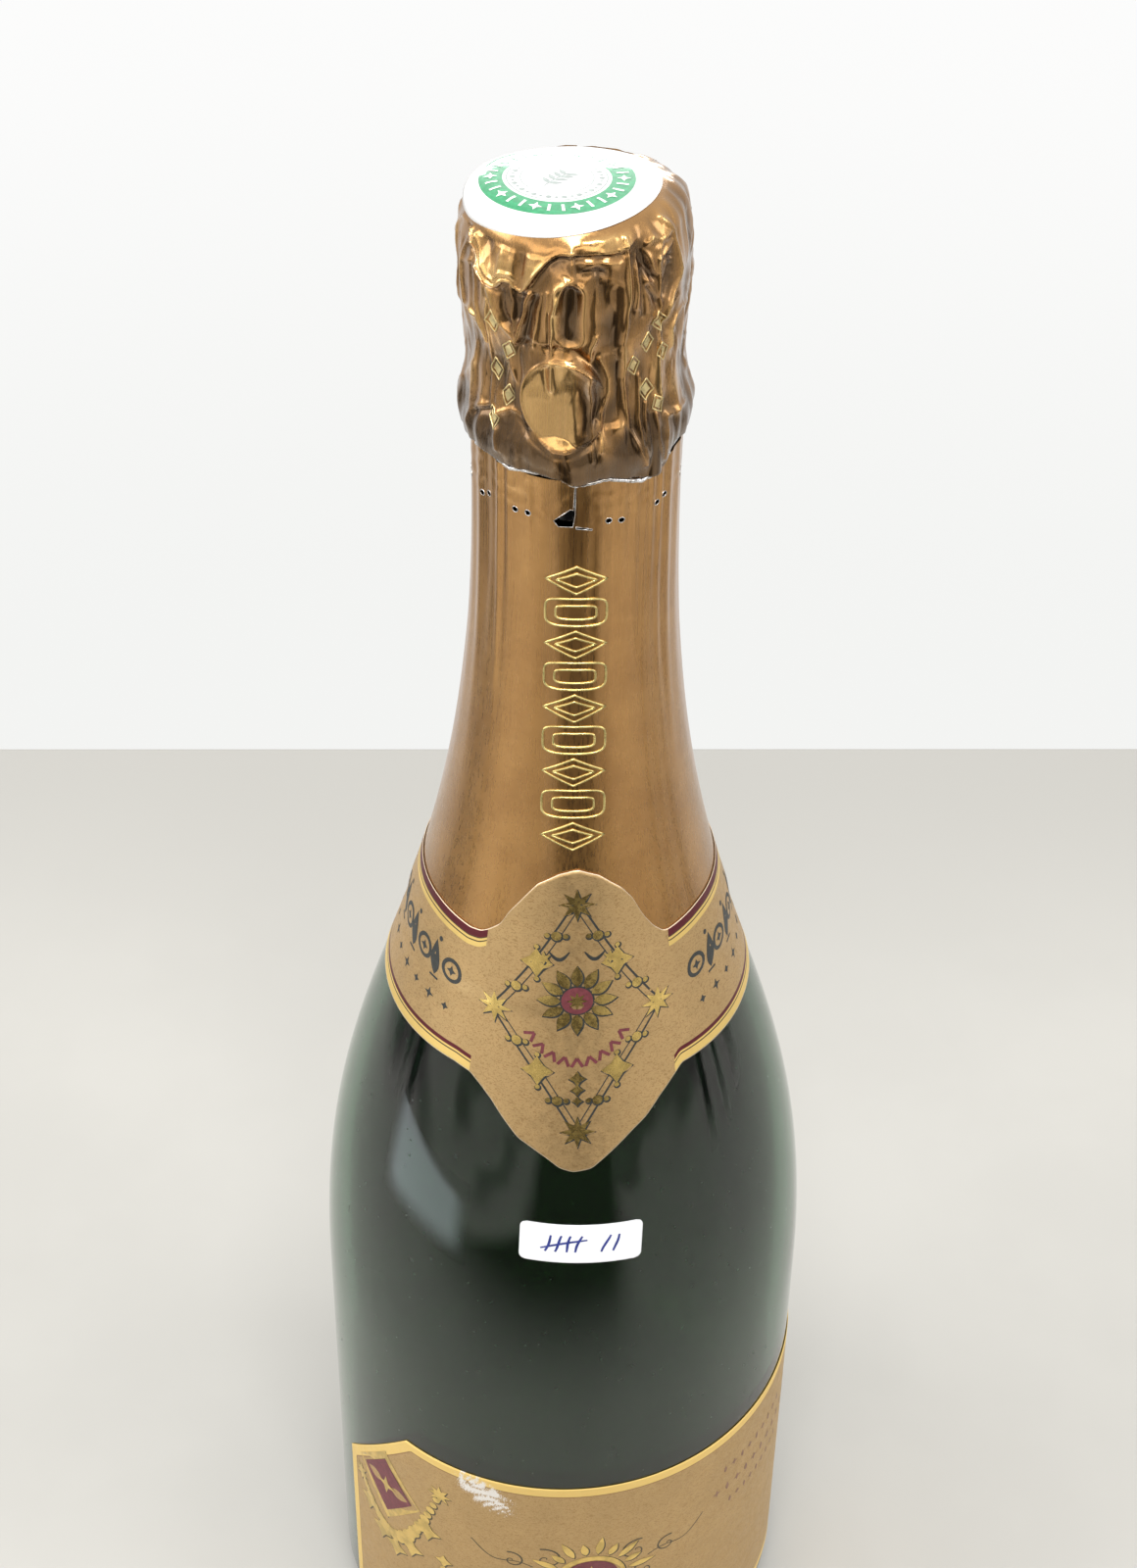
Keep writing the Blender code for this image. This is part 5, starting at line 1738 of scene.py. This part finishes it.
def makeFrontPrint():
    gold, red, faint, strokes = [], [], [], []
    # a framed burgundy lozenge under the cut corner
    x0, y0 = labels["lozengePlace"]
    for reach, target in ((10.6, gold), (8.2, red)):
        target.append([(x0 + 0.85 * reach * x, y0 + reach * y) for x,
                       y in ((0, 1), (1, 0), (0, -1), (-1, 0))])
    for i, t in enumerate(shares(32)):
        # a swag of graded beads under the lozenge, with a star at each end
        x, y = -45.6 + 22.6 * t, 49.5 + 15.0 * t - 22.0 * sin(pi * t) * (0.62 + 0.2 * t)
        size = 0.7 + 1.0 * sin(pi * t) * (1.0 if i % 2 else 0.6)
        gold.append(circle(size, x, y, 12) if i not in (0, 32) else starShape(8, 2.6, 1.2, x, y))
        if i % 6 == 3:
            gold.append(starShape(4, 3.0, 1.5, x + 0.6, y - 3.4))
    # a chain of studs that hangs beside it
    for k in range(9):
        x, y = -22.4, 43.5 - 2.5 * k
        gold.append(circle(0.8, x, y, 12) if k % 2 else starShape(4, 1.9, 1.0, x, y))
    # a burgundy roundel with gold rays all round, between dark spirals
    hubX, hubY = labels["roundelPlace"]
    for k in range(20):
        angle = 2 * pi * k / 20 + pi / 20
        gold.append(leafShape(3.6 if k % 2 else 5.4, 1.5, *spot(hubX, hubY, 7.2, angle), angle))
    gold.append(circle(6.6, hubX, hubY, 36))
    red.append(circle(5.2, hubX, hubY, 36))
    for side in (-1, 1):
        for startX, startY, size in ((8.5, 53.0, 3.4), (15.0, 51.6, 2.6), (10.5, 46.0, 2.8)):
            curl = [spot(startX, startY, size * (1 - t), 1.2 + 7.6 * t) for t in shares(28)]
            strokes.append(([(hubX + side * x, y) for x, y in curl], lambda t: 0.2 + 0.22 * (1 - t)))
        tail = [(hubX + side * (11.0 + 12.0 * t), 50.2 + 4.6 * t * t + 0.9 * sin(7 * t)) for t in shares(16)]
        strokes.append((tail, 0.24))
    # faint rows of small marks to the right
    for row, (startX, y, count, size) in enumerate(labels["faintRows"]):
        for k in range(count):
            x = startX + 2.5 * k * size
            faint.append(starShape(4, size, size * 0.35, x, y) if (k + row) % 2 else
                         leafShape(2.0 * size, 0.8 * size, x, y - size, pi / 2))
    dark = [grownShape(outline, 0.18) for outline in gold]
    stars = [starShape(8, 3.6, 1.5, hubX, hubY), starShape(4, 2.6, 0.9, x0, y0)]
    for name, material, lift, shapes, lines in (
            ("front_ink", inkMaterial("front_ink", labels["frontInk"]), 0.02, dark, strokes),
            ("front_gilding", goldMaterial("front_gold", labels["gold"], 0.28), 0.05, subdivided(gold), ()),
            ("front_red", inkMaterial("front_red", labels["burgundy"]), 0.075, subdivided(red), ()),
            ("front_star", goldMaterial("front_star", labels["gold"], 0.28), 0.1, stars, ()),
            ("front_faint", inkMaterial("front_faint", labels["faintInk"]), 0.03, faint, ())):
        addPrint(name, material, "bottle", onFront, lift, shapes, lines)


def subdivided(outlines, longest=1.2):
    # long straight edges get points between, so that they follow the wall
    result = []
    for outline in outlines:
        points = []
        for (ax, ay), (bx, by) in zip(outline, outline[1:] + outline[:1]):
            count = max(1, int(hypot(bx - ax, by - ay) / longest))
            points += [(ax + (bx - ax) * t, ay + (by - ay) * t) for t in shares(count)[:-1]]
        result.append(points)
    return result


def onSticker(x, y, lift=0.0):
    azimuth, height = labels["stickerPlace"]
    across, up = turned(x, y, radians(labels["stickerTurn"]))
    level = height + up * 0.95
    radius = glassRadius(level) + labels["gap"]
    return around(radius + lift, azimuth + degrees(across / radius), level)


def makeSticker():
    halfWide, halfHigh = (side / 2 for side in labels["stickerSize"])
    corner = labels["stickerCorner"]

    def place(across, up):
        y = (up * 2 - 1) * halfHigh
        past = max(0.0, abs(y) - (halfHigh - corner))
        wide = halfWide - corner + sqrt(max(0.0, corner * corner - past * past))
        return onSticker((across * 2 - 1) * wide, y)

    paper = mottledMaterial("slip_paper", 4.0, *labels["slipWhites"], {"Roughness": 0.55}, 0.3, 0.7)
    mesh = gridMesh("white_slip", 48, 40, place)
    item = addPiece("white_slip", mesh, paper, "bottle", "sticker")
    thicken(item, labels["thickness"], offset=1.0)
    # a pen tally: four strokes crossed by a fifth, and two more
    strokes = []
    for k, x in enumerate(labels["tally"]):
        lean = 0.5 + 0.15 * sin(k * 2.1)
        path = [(x - lean + 2 * lean * t + 0.15 * sin(4 * t + k), -1.7 + 3.5 * t) for t in shares(8)]
        strokes.append((path, lambda t: 0.34 + 0.12 * sin(pi * t)))
    path = [(-6.9 + 7.9 * t, -1.1 + 2.0 * t + 0.3 * sin(3 * t)) for t in shares(12)]
    strokes.append((path, lambda t: 0.3 + 0.14 * sin(pi * t)))
    addPrint("pen_tally", inkMaterial("pen_blue", labels["pen"], 0.4), "bottle", onSticker,
             labels["thickness"] + 0.03, [], strokes)


makeCollar()
makeCollarPrint()
makeBandPrint()
makeFront()
makeFrontPrint()
makeSticker()
print("labels made")


# Printed disc on the crown
def crownHeight(x, y):
    # the hood's smooth outer surface under a point, in millimetres
    shoulder, rounding, top = hood["shoulderRadius"], hood["crownRound"], hood["shoulderHeight"]
    over = min(1.0, max(0.0, hypot(x + hood["lean"][1], y) - shoulder + rounding) / rounding)
    level = top + (hood["crownHeight"] - top) * sqrt(1 - over * over)
    return level - crownDrop(level, y)


def onStamp(x, y, lift=0.0):
    # x to the right and y to the back, from the disc's own middle
    px, py = x + stamp["middle"][0], y + stamp["middle"][1]
    return Vector((px, py, crownHeight(px, py) + stamp["gap"] + lift)) * mm


def makeStamp():
    def place(across, up):
        angle = 2 * pi * across
        radius = stamp["radius"] * up * (1.0 + 0.004 * sin(3 * angle))
        ripple = 0.05 * sin(5 * angle + 1.0) * up ** 4
        return onStamp(radius * sin(angle), radius * cos(angle), ripple * between(up, 0.82, 1.0))

    mesh = gridMesh("cap_disc", 144, 60, place, closed=True, upward=True)
    white = mottledMaterial("cap_white", 3.0, stamp["white"], toned(stamp["white"], 0.96),
                            {"Roughness": 0.45, "Coat Weight": 1.0, "Coat Roughness": 0.08}, 0.3, 0.7)
    item = addPiece("cap_disc", mesh, white, "hood", "cap_stamp")
    thicken(item, stamp["thickness"], offset=1.0)

    middle, (inner, outer) = stamp["ringMiddle"], stamp["ringRadii"]

    def hoop(radius, count=96):
        return [spot(*middle, radius, 2 * pi * t) for t in shares(count)]

    width = (outer - inner) / 7
    green = [(hoop(inner + width * (i + 0.5), 144), width + 0.02) for i in range(7)]
    # white stars and bars round the green ring
    white, bars, grey = [], [], []
    for k in range(30):
        angle = 2 * pi * k / 30
        x, y = spot(*middle, stamp["marksRadius"], angle)
        if k % 3:
            bars.append(([spot(x, y, 0.85 * (2 * t - 1), angle) for t in shares(5)], 0.42))
        else:
            white.append(starShape(4, 1.0, 0.42, x, y, angle))
    # a grey dotted ring and a plain sprig in the middle
    for k in range(36):
        grey.append(circle(0.26 if k % 2 else 0.42, *spot(*middle, 6.2, 2 * pi * k / 36), 8))

    def stem(t):
        return middle[0] - 1.8 + 3.4 * t, middle[1] - 2.9 + 5.6 * t - 1.2 * t * t

    lines = [(hoop(7.0), 0.16), (hoop(5.1, 64), 0.14), ([stem(t) for t in shares(10)], 0.22)]
    for k in range(4):
        grey += [leafShape(2.0, 0.8, *stem(0.2 + 0.22 * k), 1.0 + side) for side in (-1.0, 1.0)]
    for name, ink, lift, shapes, strokes in (
            ("cap_green_ring", inkMaterial("cap_green", stamp["green"], 0.4, 1.0), 0.0, [], green),
            ("cap_white_marks", inkMaterial("cap_marks", stamp["white"], 0.4), 0.05, white, bars),
            ("cap_grey_sprig", inkMaterial("cap_grey", stamp["grey"], 0.5, 1.0), 0.0, grey, lines)):
        addPrint(name, ink, "hood", onStamp, stamp["thickness"] + 0.03 + lift, shapes, strokes)


makeStamp()
print("cap disc made")


# Gold pattern down the neck foil
neckPrint = {
    "low": 211.5,
    "high": 264.5,
    "lowHalfWidth": 5.0,
    "highHalfWidth": 4.6,
    "azimuth": 1.4,
    "count": 9,
    "innerShares": (0.66, 0.5),
    "line": 0.2,
    "gold": (0.86, 0.72, 0.30),
}


def onNeck(x, y, lift=0.0):
    # x mm along the foil from the print's middle, y the height
    radius = foilRadius(y)
    return around(radius + lift, neckPrint["azimuth"] + degrees(x / radius), y)


def makeNeckPrint():
    # a chain of lozenges and rounded links down the front, each with a smaller outline inside
    paths, count, low = [], neckPrint["count"], neckPrint["low"]
    step = (neckPrint["high"] - low) / count
    for k in range(count):
        middle, share = low + step * (k + 0.5), k / (count - 1)
        wide = neckPrint["lowHalfWidth"] * (1 - share) + neckPrint["highHalfWidth"] * share
        tall = step * 0.42
        outline = []
        for x, y in circle(1.0, count=48):
            if k % 2:
                outline.append((copysign(wide * abs(x) ** 0.45, x), copysign(tall * abs(y) ** 0.45, y)))
            else:
                outline.append((wide * x / (abs(x) + abs(y)), tall * y / (abs(x) + abs(y))))
        for across, up in ((1.0, 1.0), neckPrint["innerShares"]):
            paths.append([onNeck(x * across, middle + y * up, 0.02) for x, y in outline])
    mesh = tubeMesh("neck_gilding", paths, neckPrint["line"], cyclic=True, sides=1)
    gold = goldMaterial("neck_gold", neckPrint["gold"], 0.22)
    addPiece("neck_gilding", mesh, gold, "bottle")


makeNeckPrint()
print("neck print made")
